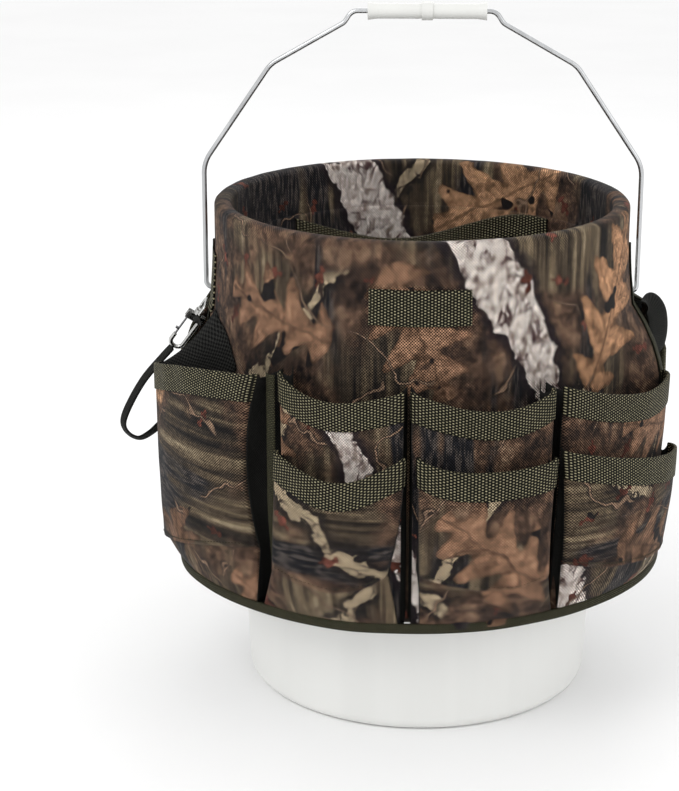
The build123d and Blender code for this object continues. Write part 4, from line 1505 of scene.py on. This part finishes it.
angle, height = np.meshgrid(np.linspace(-86.5, -76.5, 24), np.linspace(292.0, 336.0, 50), indexing="ij")
swell = 1.6 + 1.2 * (1 - step(height, 293.0, 298.0))
points = polar(apron_radius(angle, height) + swell, angle, height)
cloth_piece("snap_tab", [(points, np.stack([height, angle * 2.7], -1))], "olive_webbing", ["snap_tab"], 1.4)

STRAP_PATH = (
    (-187.5, -9.0, 257.5),
    (-196.0, -9.0, 248.0),
    (-210.0, -9.0, 231.0),
    (-221.5, -9.5, 211.0),
    (-226.5, -10.0, 197.0),
    (-223.0, -10.5, 188.5),
    (-214.5, -10.5, 184.5),
    (-205.0, -10.5, 189.5),
    (-194.0, -10.0, 199.0),
    (-176.0, -9.0, 206.0),
    (-160.5, -9.0, 209.0),
)
LOOP_PATH = (
    (158.5, -0.5, 286.0),
    (164.0, -0.5, 293.0),
    (171.0, -0.5, 294.0),
    (177.0, -0.5, 286.0),
    (179.0, -0.5, 272.0),
    (177.0, -0.5, 258.0),
    (170.0, -0.5, 249.0),
    (160.5, -0.5, 243.0),
)
grid = capped(*ribbon(STRAP_PATH, 10.0, 1.6, twist=(-22.0, -38.0)))
cloth_piece("tape_strap", [grid], "dark_webbing", ["tape_strap"], 0)
# The hammer loop is olive webbing; its near-black finish is painted shade on its inner face, turned to fill
# the loop's opening.
grid = capped(*ribbon(LOOP_PATH, 27.0, 1.7, side=(0.6, 0.8, 0.0)))
cloth_piece("side_web_loop", [grid], "dark_webbing", ["side_web_loop"], 0)
print("straps made")

# %% [markdown]
# ## Stitches
#
# Thread is what holds all of this together, so the seams that show get real stitches. A row
# is a line on a surface with a stitch every few millimetres. Each stitch is one small block
# laid along the line and half sunk in the cloth.

# %% Stitches
STITCH = (2.3, 0.6, 0.35)
STITCH_GAP = 3.3


def stitch_row(points, normal):
    """Corner places of the stitches along a line of places with normals."""
    run = np.concatenate([[0], np.cumsum(np.linalg.norm(np.diff(points, axis=0), axis=1))])
    at = np.arange(STITCH_GAP, run[-1] - STITCH_GAP / 2, STITCH_GAP)

    def sample(values):
        """Values at the middle of each stitch."""
        return np.stack([np.interp(at, run, values[:, k]) for k in range(3)], 1)

    middle, out = sample(points), sample(normal)
    ahead = sample(np.gradient(points, axis=0))
    ahead /= np.linalg.norm(ahead, axis=1, keepdims=True)
    out /= np.linalg.norm(out, axis=1, keepdims=True)
    across = np.cross(out, ahead)
    signs = [(a, b, c) for c in (-1, 1) for a, b in ((-1, -1), (1, -1), (1, 1), (-1, 1))]
    corners = []
    for along, wide, high in signs:
        shrink = 0.7 if high > 0 else 1.0
        corners.append(
            middle
            + ahead * along * STITCH[0] / 2 * shrink
            + across * wide * STITCH[1] / 2 * shrink
            + out * (STITCH[2] if high > 0 else -0.3)
        )
    return np.stack(corners, 1)


def stitches(name, rows):
    """All stitch rows as one mesh of small blocks."""
    corners = np.concatenate([stitch_row(points, normal) for points, normal in rows])
    block = np.array([[3, 2, 1, 0], [4, 5, 6, 7], [0, 1, 5, 4], [1, 2, 6, 5], [2, 3, 7, 6], [3, 0, 4, 7]])
    faces = (np.arange(len(corners))[:, None, None] * 8 + block[None]).reshape(-1, 4)
    made = mesh_from(name, corners.reshape(-1, 3) * MM, faces, np.zeros((faces.size, 2)), THREAD, False)
    return place_piece(made)


def seam_row(pocket, above, seed):
    """A line across a front, a little above its seam."""
    across, down = np.meshgrid(np.linspace(0.04, 0.96, 90), np.linspace(1.0, 0.9, 5), indexing="ij")
    drop = through(POCKETS[pocket]["seam"], across) - through(POCKETS[pocket]["mouth"], across)
    points = front_surface(pocket, across, down + (above / drop), seed)
    normal = grid_normals(points)
    return points[:, 0] + 0.1 * normal[:, 0], normal[:, 0]


for half in ("front", "back"):
    rows = []
    for pocket in ("tall", "left_lower", "middle_lower", "right_lower"):
        seed = 11 * (list(POCKETS).index(pocket) + 1) + (70 if half == "back" else 0)
        shape = "back_tall" if (half, pocket) == ("back", "tall") else pocket
        row, normal = seam_row(shape, 3.0, seed)
        if half == "back":
            row, normal = half_turn(row), half_turn(normal)
        rows.append((row, normal))
    stitches(half + "_seam_stitches", rows)

rows = []
for angle in (-12.4, -11.6, 11.6, 12.4):
    height = np.linspace(316.5, 339.5, 30)
    line = polar(apron_radius(angle + 0 * height, height) + 1.75, angle + 0 * height, height)
    rows.append((line, polar(1.0 + 0 * height, angle + 0 * height, 0 * height)))
stitches("band_stitches", rows)
print("stitch pieces made")
